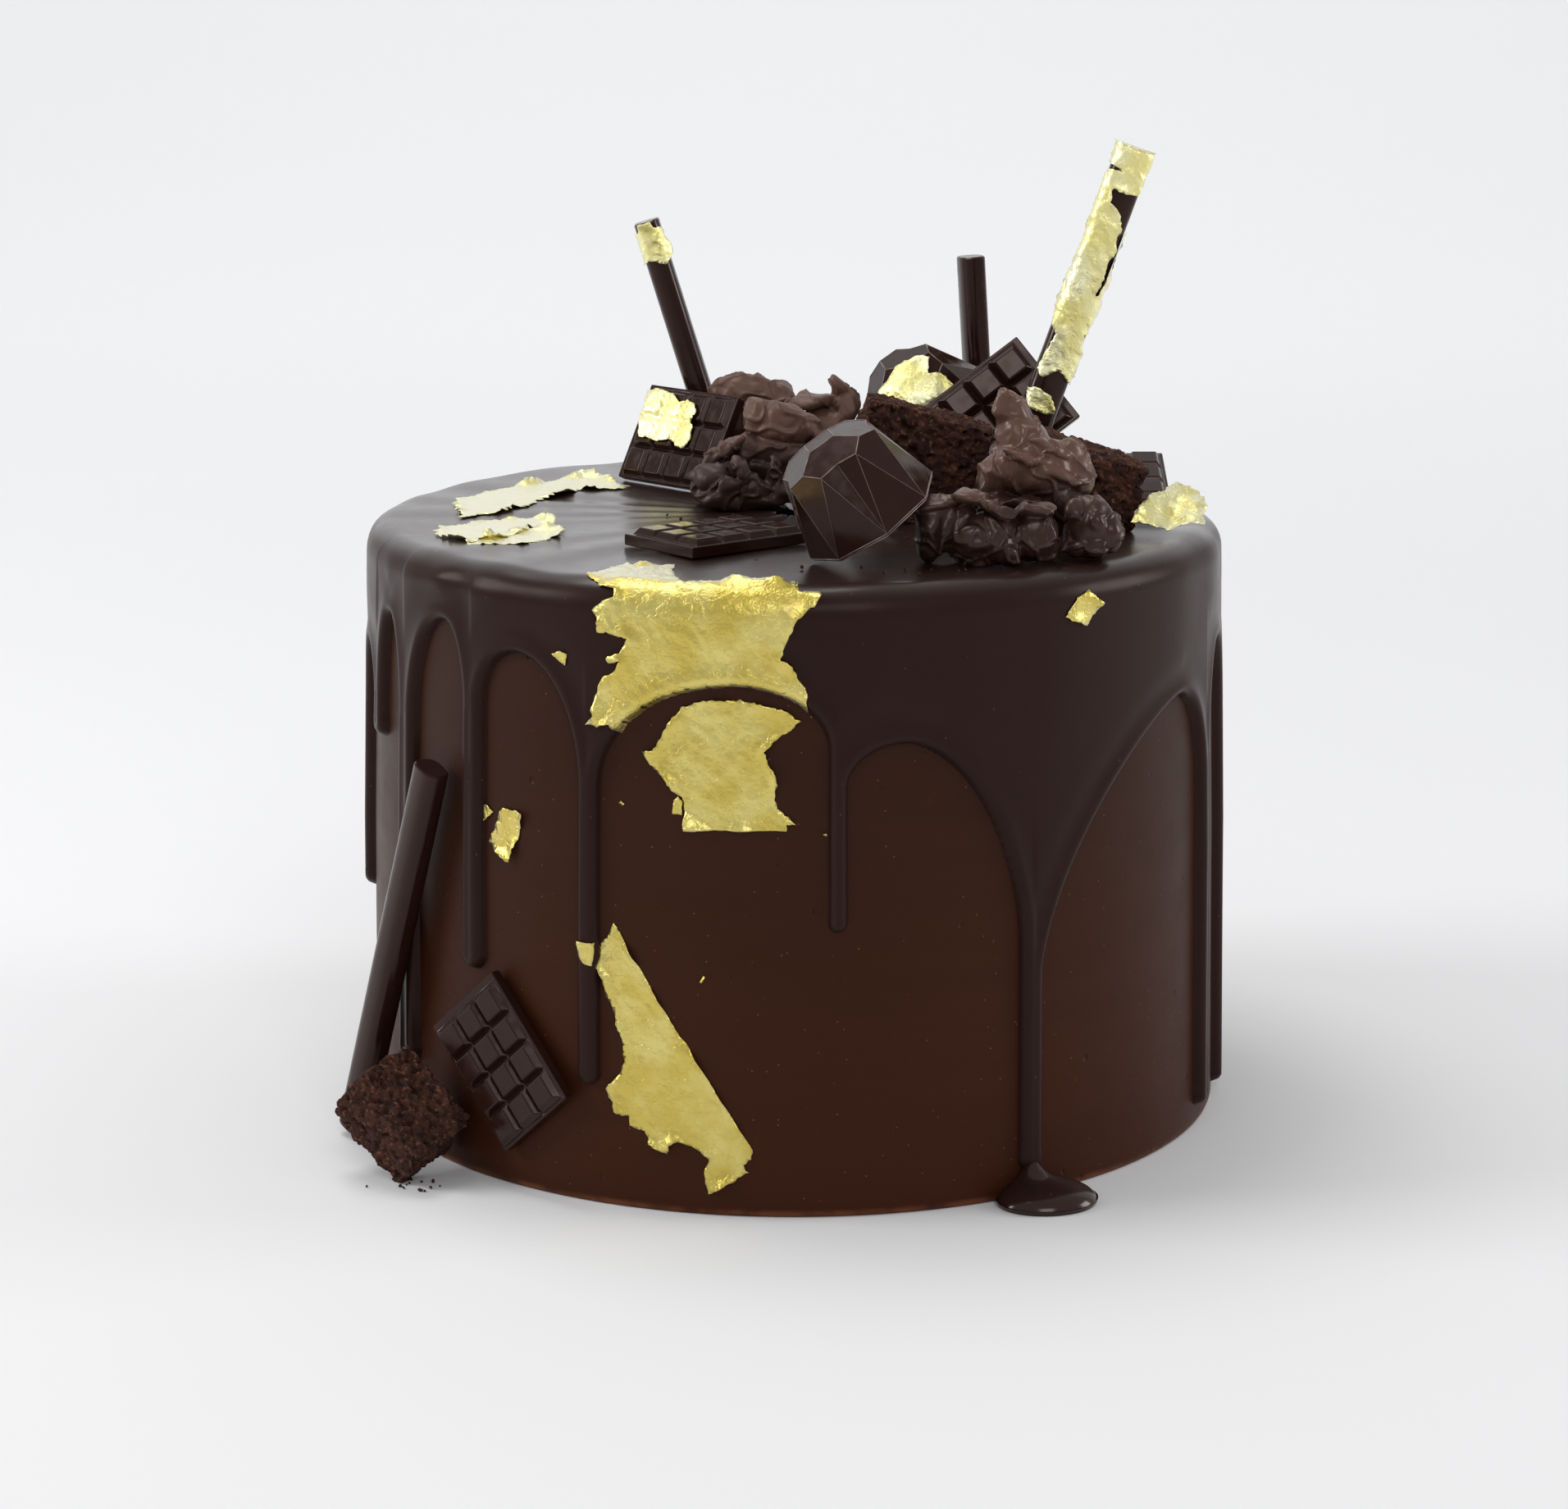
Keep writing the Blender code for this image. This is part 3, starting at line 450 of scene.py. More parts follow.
# %% Mesh helpers
def mesh_of(name, points, faces):
    """A mesh from points in mm, and from faces that all have as many corners."""
    points = np.asarray(points, float) * MM
    faces = np.asarray(faces, np.int32)
    mesh = bpy.data.meshes.new(name)
    mesh.vertices.add(len(points))
    mesh.vertices.foreach_set("co", points.ravel())
    mesh.loops.add(faces.size)
    mesh.loops.foreach_set("vertex_index", faces.ravel())
    mesh.polygons.add(len(faces))
    mesh.polygons.foreach_set("loop_start", np.arange(0, faces.size, faces.shape[1], dtype=np.int32))
    mesh.update(calc_edges=True)
    mesh.validate()
    return mesh


def finished(bm, name):
    """The mesh made from an edit mesh, which is then let go."""
    mesh = bpy.data.meshes.new(name)
    bm.to_mesh(mesh)
    bm.free()
    return mesh


def outward(mesh):
    """Turns every face of a closed mesh to look out."""
    bm = bmesh.new()
    bm.from_mesh(mesh)
    bmesh.ops.recalc_face_normals(bm, faces=bm.faces)
    bm.to_mesh(mesh)
    bm.free()
    return mesh


def dress(name, mesh, finish, slot, *nodes, smooth=True):
    """Makes the piece an object that rides on the body and stands for its solid nodes."""
    if smooth:
        mesh.shade_smooth()
    mesh.materials.append(finish.material)
    piece = bpy.data.objects.new(name, mesh)
    bpy.context.collection.objects.link(piece)
    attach(piece, "root")
    if nodes:
        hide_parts(*nodes)
    print(name, len(mesh.polygons), "faces")
    return piece


def dress_node(node, mesh, finish, slot, smooth=True):
    """Dresses the one solid node that the piece stands for, and names the piece after it."""
    return dress(node.replace("_", "-"), mesh, finish, slot, node, smooth=smooth)


def soften(piece, width, sharper_than):
    """Rounds the piece's sharp edges by width mm, as a mould does."""
    edge = piece.modifiers.new("rounded edges", "BEVEL")
    edge.width = width * MM
    edge.segments = 3
    edge.limit_method = "ANGLE"
    edge.angle_limit = math.radians(sharper_than)
    edge.harden_normals = True


def ring_faces(rows, columns):
    """Quads of a grid that closes on itself in its columns, numbered row by row."""
    index = np.arange(rows * columns).reshape(rows, columns)
    after = np.roll(index, -1, axis=1)
    quads = np.stack([index[:-1], after[:-1], after[1:], index[1:]], axis=-1)
    return quads.reshape(-1, 4)


print("mesh helpers ready")

# %% [markdown]
# ## The shape of the cake
# The cake narrows a little towards its top. The glaze is a skin over it, so any point of the glazed
# surface is found by its azimuth, in degrees from the front, and by its run: the height up the side,
# then the distance over the rounded rim, then the distance inwards.

# %% Sizes of the cake
BASE_RADIUS = 104.0
MID_RADIUS = 102.8
TOP_RADIUS = 100.6
MID_HEIGHT = 70.0
TOP_HEIGHT = 143.1
# Between pieces that touch, and the thickness of the glaze
GAP = 0.3
SKIN = 2.7
RIM_ROUND = 7.0
SHOULDER = TOP_HEIGHT - RIM_ROUND
MM_PER_DEGREE = math.radians(MID_RADIUS)


def core_radius(height):
    """Radius of the bare cake at each height."""
    heights = (0.0, MID_HEIGHT, TOP_HEIGHT)
    return np.interp(height, heights, (BASE_RADIUS, MID_RADIUS, TOP_RADIUS))


def waves(azimuth, along, seed, rounds, pitch):
    """Slow random waves, from about -1 to 1, that close up round the cake."""
    chance = np.random.default_rng(seed)
    total = 0.0
    for turns in chance.integers(rounds[0], rounds[1], 6):
        slant = chance.uniform(-1.0, 1.0) / pitch
        phase = chance.uniform(0.0, 2 * math.pi)
        total = total + np.sin(np.radians(azimuth) * turns + along * slant + phase)
    return total / 3.0


def drag(azimuth, height):
    """The ganache's own unevenness, left by the palette knife."""
    return 0.16 * waves(azimuth, height, 3, (2, 9), 14.0)


def cylinder(azimuth, radius, height):
    """Points from azimuth, distance from the axis and height."""
    turn = np.radians(azimuth)
    parts = np.broadcast_arrays(radius * np.sin(turn), -radius * np.cos(turn), height)
    return np.stack(parts, axis=-1)


print("cake:", 2 * BASE_RADIUS, "mm wide,", TOP_HEIGHT, "mm tall")

# %% [markdown]
# ## The ganache side
# Only the side below the glaze shows, but the piece is closed below and above, as the real cake is.


# %% Ganache side
def cake_side():
    azimuth = np.arange(0.0, 360.0, 1.0)
    height = np.concatenate([[0.0, 0.5, 1.2], np.arange(3.0, 139.0, 1.7), [139.0]])
    turn, level = np.meshgrid(azimuth, height)
    tuck = np.interp(level, (0.0, 0.5, 1.2), (0.9, 0.25, 0.0))
    radius = core_radius(level) - tuck + drag(turn, level) * np.clip(level / 6.0, 0.0, 1.0)
    points = cylinder(turn, radius, level).reshape(-1, 3)
    rows, columns = turn.shape
    mesh = bpy.data.meshes.new("cake side")
    faces = ring_faces(rows, columns).tolist()
    faces.append(list(range(columns))[::-1])
    faces.append(list(range((rows - 1) * columns, rows * columns)))
    mesh.from_pydata((points * MM).tolist(), [], faces)
    return mesh


dress("ganache-side", cake_side(), ganache, "ganache", "cake")

# %% [markdown]
# ## The glaze and its drips
# The glaze was poured on the top and ran down in drips, with a bare arch between each two. Its edge
# is a rounded roll, thicker than the sheet behind it. A height field makes this well: for each point
# of a fine grid, the depth inside the glaze's edge gives its thickness, and points outside the edge
# sink into the cake. The grid is finest at the flanks of the drips, where the surface is steepest.
# A drip ends in a small round bulb, a little wider than the drip itself.

# %% Drips and arches
# Each drip: azimuth in degrees from the front, half width and height of its end in mm
DRIPS = (
    (-86.0, 3.4, 52.0),
    (-71.5, 3.2, 95.0),
    (-60.2, 3.6, 20.0),
    (-44.8, 2.9, 49.5),
    (-26.3, 2.3, 28.0),
    (5.4, 1.8, 66.0),
    (30.9, 2.6, 6.6),
    (69.0, 3.0, 5.0),
    (84.0, 2.6, 2.4),
    (101.0, 2.4, 46.0),
    (119.0, 2.9, 12.0),
    (137.0, 2.0, 78.0),
    (152.0, 2.7, 34.0),
    (170.0, 2.3, 60.0),
    (189.0, 3.0, 8.0),
    (208.0, 2.1, 70.0),
    (226.0, 2.7, 26.0),
    (244.0, 2.2, 56.0),
    (259.0, 2.8, 15.0),
)
# The arch after each drip: azimuth and height of its peak, and where it meets each drip
ARCHES = (
    (-79.0, 116.0, 98.0, 104.0),
    (-66.0, 126.0, 106.0, 104.0),
    (-50.6, 128.7, 104.0, 110.0),
    (-37.0, 124.4, 112.0, 96.0),
    (-7.5, 121.0, 96.0, 107.0),
    (13.6, 107.8, 98.0, 60.0),
    (59.6, 108.6, 52.0, 86.0),
    (76.0, 117.0, 92.0, 92.0),
    (92.0, 120.0, 94.0, 98.0),
    (109.0, 113.0, 92.0, 84.0),
    (129.0, 121.0, 90.0, 104.0),
    (144.0, 117.0, 100.0, 92.0),
    (161.0, 123.0, 98.0, 102.0),
    (179.0, 112.0, 88.0, 80.0),
    (199.0, 119.0, 84.0, 100.0),
    (217.0, 124.0, 106.0, 98.0),
    (235.0, 114.0, 88.0, 94.0),
    (251.0, 122.0, 100.0, 96.0),
    (266.0, 118.0, 94.0, 100.0),
)
# An arch's limbs are parts of an ellipse, of power 2, but for two that run straighter
ELLIPSE = (2.0, 2.0)
STRAIGHTER = {5: (2.0, 1.8), 6: (1.6, 2.0)}
FIRST_DRIP = DRIPS[0][0]
drip = np.array(DRIPS + ((FIRST_DRIP + 360.0, *DRIPS[0][1:]),))
arch = np.array([row + STRAIGHTER.get(number, ELLIPSE) for number, row in enumerate(ARCHES)])
print(len(DRIPS), "drips")


# %% Depth inside the glaze
BULB_SHARE = 1.18


def glaze_depth(azimuth, run):
    """How far inside the glaze's edge each point lies, in mm, and below 0 on bare cake."""
    turn = (azimuth - FIRST_DRIP) % 360.0 + FIRST_DRIP
    window = np.clip(np.searchsorted(drip[:, 0], turn, side="right") - 1, 0, len(arch) - 1)
    peak, top, left_foot, right_foot, left_power, right_power = np.moveaxis(arch[window], -1, 0)
    on_left = turn < peak
    owner = np.where(on_left, window, window + 1)
    centre, half, tip = np.moveaxis(drip[owner], -1, 0)
    from_drip = np.abs(turn - centre) * MM_PER_DEGREE
    span = np.abs(peak - centre) * MM_PER_DEGREE - half - 0.25
    from_peak = np.abs(turn - peak) * MM_PER_DEGREE
    rise = run - np.where(on_left, left_foot, right_foot)
    height = top - np.where(on_left, left_foot, right_foot)
    power = np.where(on_left, left_power, right_power)
    out, up = from_peak / span, np.maximum(rise, 0.0) / height
    size = out**power + up**power
    slope = power * np.sqrt((out ** (power - 1.0) / span) ** 2 + (up ** (power - 1.0) / height) ** 2)
    over_arch = (size - 1.0) / np.maximum(slope, 1e-3)
    depth = np.where(rise > 0.0, over_arch, from_peak - span)
    end = tip + half
    in_tip = half - np.hypot(from_drip, run - end)
    depth = np.where(run < end, np.minimum(depth, in_tip), depth)
    bulb = BULB_SHARE * half
    return np.maximum(depth, bulb - np.hypot(from_drip, run - tip - bulb))


def glaze_height(azimuth, run):
    """Thickness of the glaze in mm at each point, and below 0 where there is none."""
    depth = glaze_depth(azimuth, run)
    roll = np.sqrt(1.0 - (1.0 - np.clip(depth / 2.2, 0.0, 1.0)) ** 2)
    bead = 0.16 * np.exp(-(((depth - 1.9) / 1.1) ** 2)) - 0.34 * np.exp(-(((depth - 5.2) / 2.6) ** 2))
    sheet = np.clip((depth - 3.0) / 6.0, 0.0, 1.0)
    flow = 0.2 * sheet * waves(azimuth, run, 11, (6, 34), 40.0)
    fold = 0.9 * np.exp(-(((azimuth + 51.0) / 3.2) ** 2) - ((run - 137.0) / 4.5) ** 2)
    fold -= 0.6 * np.exp(-(((azimuth + 47.0) / 2.4) ** 2) - ((run - 134.0) / 5.0) ** 2)
    thick = (SKIN - 0.1) * roll + bead * roll + flow + fold * sheet
    return np.where(depth < 0.0, 1.5 * depth, thick)


def glaze_points(azimuth, run, lift=0.0):
    """Points on the glazed surface, raised by lift mm."""
    thick = glaze_height(azimuth, run) + drag(azimuth, np.minimum(run, SHOULDER))
    quarter = RIM_ROUND * math.pi / 2
    over = np.clip(run - SHOULDER, 0.0, quarter) / RIM_ROUND
    inwards = np.maximum(run - SHOULDER - quarter, 0.0)
    side = core_radius(np.minimum(run, SHOULDER)) + thick + lift
    reach = RIM_ROUND + thick - SKIN + lift
    centre = core_radius(SHOULDER) + SKIN - RIM_ROUND
    radius = np.where(over > 0.0, centre + reach * np.cos(over), side)
    height = np.where(over > 0.0, SHOULDER + reach * np.sin(over), run)
    return cylinder(azimuth, radius - inwards, height)


print("thickest glaze", round(float(glaze_height(np.array([5.4]), np.array([90.0]))[0]), 2), "mm")


# %% Glaze mesh
def glaze_azimuths():
    """Azimuths all round, close together at the flanks of each drip."""
    flanks = [c + side * h / MM_PER_DEGREE for c, h, _ in drip for side in (-1, 1)]
    found = [FIRST_DRIP]
    while found[-1] < FIRST_DRIP + 360.0:
        nearest = min(abs(found[-1] - flank) for flank in flanks) * MM_PER_DEGREE
        step = min(0.2 + 0.2 * nearest, 1.1)
        found.append(found[-1] + step / MM_PER_DEGREE)
    return np.array(found[:-1])


def glaze_runs():
    """Heights up the side, then steps over the rim and in to the middle."""
    side = np.concatenate([np.arange(0.6, 60.0, 0.9), np.arange(60.0, SHOULDER, 0.55)])
    quarter = RIM_ROUND * math.pi / 2
    rim = SHOULDER + np.linspace(0.0, quarter, 10)
    flat = rim[-1] + np.arange(2.0, 95.0, 3.0)
    return np.concatenate([side, rim, flat])


def glaze_mesh():
    turn, run = np.meshgrid(glaze_azimuths(), glaze_runs())
    points = glaze_points(turn, run).reshape(-1, 3)
    quads = ring_faces(*turn.shape)
    inside = glaze_depth(turn, run).reshape(-1) > -0.8
    quads = quads[inside[quads].any(axis=1)]
    used, quads = np.unique(quads, return_inverse=True)
    return mesh_of("glaze", points[used], quads.reshape(-1, 4))


dress("poured-glaze", glaze_mesh(), glaze, "glaze", "glaze")

# %% [markdown]
# ## The puddle at the foot
# The longest front drip reaches the bottom and spreads into a small domed puddle, which climbs a
# little where the drip feeds it.


# %% Drip puddle
PUDDLE_AZIMUTH = 31.6
PUDDLE_FROM_AXIS = 109.4
PUDDLE_REACH = 10.0
PUDDLE_WIDTH = 12.0
PUDDLE_HEIGHT = 4.7
NECK_PLACE = (54.0, -90.4)


def puddle_mesh():
    """Rings of a dome from its middle out and under, with a neck that climbs to the drip."""
    centre = cylinder(PUDDLE_AZIMUTH, PUDDLE_FROM_AXIS, 0.0)
    outwards = cylinder(PUDDLE_AZIMUTH, 1.0, 0.0)
    sideways = cylinder(PUDDLE_AZIMUTH + 90.0, 1.0, 0.0)
    share = np.concatenate([np.linspace(0.0, 0.9, 31), [0.94, 0.97, 0.99, 1.0, 0.985, 0.96]])
    level = PUDDLE_HEIGHT * np.sqrt(np.clip(1.0 - share**2.6, 0.0, 1.0))
    level[-3:] = (1.3, 0.5, 0.05)
    angle = np.radians(np.arange(0.0, 360.0, 4.0))
    wide = 1.0 + 0.03 * np.sin(2 * angle + 0.6) + 0.02 * np.sin(3 * angle)
    around_it = np.outer(share, PUDDLE_REACH * wide * np.cos(angle))
    across_it = np.outer(share, PUDDLE_WIDTH * wide * np.sin(angle))
    points = centre + around_it[..., None] * outwards + across_it[..., None] * sideways
    points[..., 2] = level[:, None]
    stem = np.hypot(points[..., 0] - NECK_PLACE[0], points[..., 1] - NECK_PLACE[1])
    neck = 3.0 * np.exp(-((stem / 2.7) ** 2)) + 1.7 * np.exp(-((stem / 5.0) ** 2))
    points[..., 2] += neck * (level[:, None] > 1.5)
    rows, columns = around_it.shape
    quads = ring_faces(rows, columns)[:, ::-1]
    return mesh_of("drip puddle", points.reshape(-1, 3), quads)


dress("drip-puddle", puddle_mesh(), wet_glaze, "glaze", "drip_pool")

# %% [markdown]
# ## Moulded tablets
# A tablet is pressed in three by four raised squares with sloping sides. It is cut from one plate
# with Blender's inset, which keeps every square alike, and its edges are then rounded as a mould
# rounds them.

# %% Tablet shape
TABLET_WIDTH = 25.3
TABLET_LENGTH = 33.9
TABLET_PLATE = 2.6
SQUARE_HEIGHT = 1.5
SQUARE_DRAFT = 1.5
SQUARE_PITCH = 7.8
SQUARE_SIDE = 7.0
TABLET_MARGIN = 0.9


def tablet_mesh():
    """The tablet on its back, squares up, with a corner at the origin, in mm."""
    xs = [0.0] + [TABLET_MARGIN + SQUARE_PITCH * i for i in range(4)] + [TABLET_WIDTH]
    ys = [0.0] + [TABLET_MARGIN + SQUARE_PITCH * i for i in range(5)] + [TABLET_LENGTH]
    bm = bmesh.new()
    grid = [[bm.verts.new((x, y, TABLET_PLATE)) for x in xs] for y in ys]
    squares = []
    for row in range(len(ys) - 1):
        for column in range(len(xs) - 1):
            low, high = grid[row], grid[row + 1]
            face = bm.faces.new((low[column], low[column + 1], high[column + 1], high[column]))
            if 0 < row < len(ys) - 2 and 0 < column < len(xs) - 2:
                squares.append(face)
    bmesh.ops.inset_individual(bm, faces=squares, thickness=(SQUARE_PITCH - SQUARE_SIDE) / 2)
    bmesh.ops.inset_individual(bm, faces=squares, thickness=SQUARE_DRAFT, depth=SQUARE_HEIGHT)
    rim = [edge for edge in bm.edges if edge.is_boundary]
    made = bmesh.ops.extrude_edge_only(bm, edges=rim)["geom"]
    for vert in (item for item in made if isinstance(item, bmesh.types.BMVert)):
        vert.co.z = 0.0
    bmesh.ops.contextual_create(bm, geom=[edge for edge in bm.edges if edge.is_boundary])
    bmesh.ops.recalc_face_normals(bm, faces=bm.faces)
    return bm


def tablet_place(corner, along, across):
    """The turn and shift that puts a tablet's corner, long side and short side as given."""
    along = along.normalized()
    across = (across - along * across.dot(along)).normalized()
    turn = Matrix((across, along, across.cross(along))).transposed().to_4x4()
    return Matrix.Translation(Vector(corner)) @ turn


def leaning(yaw, tilt):
    """Directions of a leaning tablet: along its length, and up its leaning width."""
    turn, slope = math.radians(yaw), math.radians(tilt)
    along = Vector((-math.cos(turn), math.sin(turn), 0.0))
    back = Vector((math.sin(turn), math.cos(turn), 0.0))
    return along, back * math.sin(slope) + Vector((0.0, 0.0, math.cos(slope)))


print("tablet:", TABLET_WIDTH, "by", TABLET_LENGTH, "mm")


# %% Where the tablets lie
def side_tablet_place():
    """Pressed flat on the lower left of the side, and turned."""
    azimuth, height, roll = -38.9, 30.0, math.radians(41.4)
    outwards = Vector(cylinder(azimuth, 1.0, 0.0))
    sideways = Vector(cylinder(azimuth + 90.0, 1.0, 0.0))
    up = Vector((0.0, 0.0, 1.0))
    across = sideways * math.cos(roll) + up * math.sin(roll)
    along = up * math.cos(roll) - sideways * math.sin(roll)
    middle = outwards * (float(core_radius(height)) + 1.1) + up * height
    corner = middle - across * (TABLET_WIDTH / 2) - along * (TABLET_LENGTH / 2)
    return tablet_place(corner, along, across)


def back_tablet_place():
    """Standing on one corner behind the heap, and leaning back."""
    tip, slope = math.radians(37.7), math.radians(20.0)
    upright = Vector((0.0, math.sin(slope), math.cos(slope)))
    level = Vector((1.0, 0.0, 0.0))
    along = level * math.cos(tip) + upright * math.sin(tip)
    across = level * math.sin(tip) - upright * math.cos(tip)
    lowest = Vector((43.4, 10.0, TOP_HEIGHT + GAP + 0.9))
    return tablet_place(lowest - across * TABLET_WIDTH, along, across)


REST = TOP_HEIGHT + GAP
flat = math.radians(40.0)
front_along = Vector((-math.cos(flat), -math.sin(flat), 0.0))
front_across = Vector((-math.sin(flat), math.cos(flat), 0.0))
tablet_places = {
    "tablet_left": tablet_place((-20.6, 26.6, REST), *leaning(47.7, 27.0)),
    "tablet_front": tablet_place((3.2, -46.8, REST), front_along, front_across),
    "tablet_side": side_tablet_place(),
    "tablet_back": back_tablet_place(),
    "tablet_edge": tablet_place((91.6, 2.2, REST), *leaning(0.0, 71.0)),
}
for node, place in tablet_places.items():
    bm = tablet_mesh()
    bmesh.ops.transform(bm, verts=bm.verts, matrix=Matrix.Scale(MM, 4) @ place)
    soften(dress_node(node, finished(bm, node), chocolate, "chocolate"), 0.32, 20.0)

# %% [markdown]
# ## Moulded sticks
# Each stick is a rod of oval section with its edges at both ends worn round. Three stand in the heap
# and one leans on the side.

# %% Sticks
STICK_WIDTH = 8.8
STICK_DEPTH = 6.6
STICK_SIDES = 36
STICK_ROUNDING = 0.75
# A stick ends this much below the tip given for it, which leaves room for the leaf over it
TIP_SHORT = 1.0
# Each stick: middle of its foot, middle of its tip, and the way that its broad side faces
STICKS = {
    "stick_left": ((-18.0, 56.4, TOP_HEIGHT + 2.6), (-37.8, 56.4, 209.8), Vector((1.0, 0.0, 0.3))),
    "stick_middle": ((48.4, 56.0, TOP_HEIGHT + 1.8), (44.8, 56.0, 201.0), Vector((-0.97, -0.24, 0.0))),
    "stick_right": ((51.0, -3.0, TOP_HEIGHT + 3.4), (81.2, -3.0, 231.4), Vector((0.0, -1.0, 0.0))),
    "stick_side": ((-105.0, -45.2, 1.8), (-82.2, -69.2, 96.4), Vector(cylinder(-52.0, 1.0, 0.0))),
}


def stick_section(turns):
    """Points of the stick's oval section at these turns, counted from its front: across, back."""
    angle = 2 * np.pi * np.asarray(turns)
    across, back = np.sin(angle), -np.cos(angle)
    across = np.sign(across) * np.abs(across) ** STICK_ROUNDING * STICK_WIDTH / 2
    back = np.sign(back) * np.abs(back) ** STICK_ROUNDING * STICK_DEPTH / 2
    return np.column_stack([across, back])


def stick_axes(foot, tip, facing):
    """Directions along the stick, across its front, and towards its back."""
    along = (tip - foot).normalized()
    side = along.cross(facing).normalized()
    back = along.cross(side).normalized()
    return along, side, back if back.dot(facing) < 0 else -back


def stick_mesh(foot, tip, facing):
    """The oval drawn from foot to tip, with a small bevel at both ends."""
    along, side, back = stick_axes(foot, tip, facing)
    section = stick_section((np.arange(STICK_SIDES) + 0.5) / STICK_SIDES)
    rings = []
    length = (tip - foot).length - TIP_SHORT
    for up, size in ((0.0, 0.86), (0.5, 1.0), (length - 0.35, 1.0), (length, 0.9)):
        across = section[:, :1] * np.array(side) + section[:, 1:] * np.array(back)
        rings.append(np.array(foot + along * up) + across * size)
    mesh = bpy.data.meshes.new("stick")
    faces = ring_faces(len(rings), STICK_SIDES).tolist()
    faces.append(list(range(STICK_SIDES))[::-1])
    faces.append([(len(rings) - 1) * STICK_SIDES + step for step in range(STICK_SIDES)])
    mesh.from_pydata((np.concatenate(rings) * MM).tolist(), [], faces)
    return outward(mesh)


for node, (foot, tip, facing) in STICKS.items():
    mesh = stick_mesh(Vector(foot), Vector(tip), facing)
    dress_node(node, mesh, chocolate, "chocolate")
    mesh.set_sharp_from_angle(angle=math.radians(35.0))

# %% [markdown]
# ## Gem bonbons
# A gem is a mould-cast bonbon cut like a brilliant stone. From an octagonal girdle, kites and
# triangles rise to a zigzag of low and high corners; four wide crown faces lean in from there to a
# small square table. Each corner is given by its distance from the axis and its height over the
# girdle, so that every facet comes out flat.

# %% Gem corners
GEM_BACK = (16.2, -0.6)
GEM_GIRDLE = (16.7, 0.0)
GEM_LOW = (12.3, 17.5)
GEM_HIGH = (10.8, 19.2)
GEM_NOTCH = (10.6, 17.8)
GEM_TABLE = (4.6, 21.3)
# Each gem: middle of its girdle, the way that its table faces, and its turn about that
GEMS = {
    "gem_front": ((17.3, -69.1, 153.4), (-0.554, -0.177, 0.814), 36.3),
    "gem_back": ((37.4, 38.0, 160.6), (-0.60, -0.58, 0.55), 60.0),
}


def gem_ring(bm, corner, count, offset):
    """Corners spaced evenly round the axis, offset by some eighths of a turn."""
    radius, height = corner
    turns = [2 * math.pi * (step / count + offset / 8) for step in range(count)]
    return [bm.verts.new((radius * math.cos(t), radius * math.sin(t), height)) for t in turns]


def gem_faces(bm):
    """The flat back, the girdle's band, and every facet of the cut."""
    back, girdle = gem_ring(bm, GEM_BACK, 8, 0.0), gem_ring(bm, GEM_GIRDLE, 8, 0.0)
    low = gem_ring(bm, GEM_LOW, 8, 0.5)
    high, notch = gem_ring(bm, GEM_HIGH, 4, 0.0), gem_ring(bm, GEM_NOTCH, 4, 1.0)
    table = gem_ring(bm, GEM_TABLE, 4, 0.0)
    bm.faces.new(back)
    bm.faces.new(table)
    for side in range(8):
        after = (side + 1) % 8
        bm.faces.new((back[side], back[after], girdle[after], girdle[side]))
        bm.faces.new((low[side], girdle[side], girdle[after]))
    for quarter in range(4):
        side, after = 2 * quarter, (quarter + 1) % 4
        bm.faces.new((high[quarter], low[side - 1], girdle[side], low[side]))
        bm.faces.new((notch[quarter], low[side], girdle[side + 1]))
        bm.faces.new((notch[quarter], girdle[side + 1], low[side + 1]))
        crown = (table[quarter], high[quarter], low[side], notch[quarter])
        bm.faces.new(crown + (low[side + 1], high[after], table[after]))


print("gem:", 2 * GEM_GIRDLE[0], "mm wide,", GEM_TABLE[1], "mm tall")


# %% Gems
def gem_mesh(centre, axis, roll):
    axis = Vector(axis).normalized()
    side = axis.cross(Vector((0.0, 0.0, 1.0))).normalized()
    turn = Matrix((side.cross(axis), side, axis)).transposed().to_4x4()
    spin = Matrix.Rotation(math.radians(roll), 4, "Z")
    bm = bmesh.new()
    gem_faces(bm)
    place = Matrix.Scale(MM, 4) @ Matrix.Translation(Vector(centre)) @ turn @ spin
    bmesh.ops.transform(bm, verts=bm.verts, matrix=place)
    bmesh.ops.recalc_face_normals(bm, faces=bm.faces)
    return finished(bm, "gem")


# Radius in mm of the painted highlight rod on an edge between faces of these numbers of corners
EDGE_RADIUS = {(4, 8): 0.2, (3, 4): 0.12, (3, 7): 0.12, (4, 7): 0.12, (7, 7): 0.14}
FLANK_EDGE = 0.04
LONGEST_CROWN_EDGE = 15.0 * MM


def painted_highlight_edges(mesh):
    """A fine pale rod along every edge of a gem, as a painted highlight: boldest round the girdle,
    finest on its flanks.
    """
    bm, rods = bmesh.new(), bmesh.new()
    bm.from_mesh(mesh)
    for edge in bm.edges:
        start, end = [vert.co for vert in edge.verts]
        along = end - start
        facing = along.to_track_quat("Z", "Y").to_matrix().to_4x4()
        place = Matrix.Translation((start + end) / 2) @ facing
        corners = sorted(len(face.verts) for face in edge.link_faces)
        radius = EDGE_RADIUS.get(tuple(corners), FLANK_EDGE) * MM
        if along.length > LONGEST_CROWN_EDGE:
            radius = FLANK_EDGE * MM
        bmesh.ops.create_cone(
            rods, cap_ends=True, segments=6, radius1=radius, radius2=radius,
            depth=along.length, matrix=place,
        )
    bm.free()
    return finished(rods, "worn edges")


for node, values in GEMS.items():
    mesh = gem_mesh(*values)
    # Each edge gets a pale rod: painted highlights along the gem's edges.
    edges = painted_highlight_edges(mesh)
    gem = dress_node(node, mesh, chocolate, "chocolate", smooth=False)
    soften(gem, 0.22, 8.0)
    dress(gem.name + "-edges", edges, edge_highlight_chocolate, "chocolate")

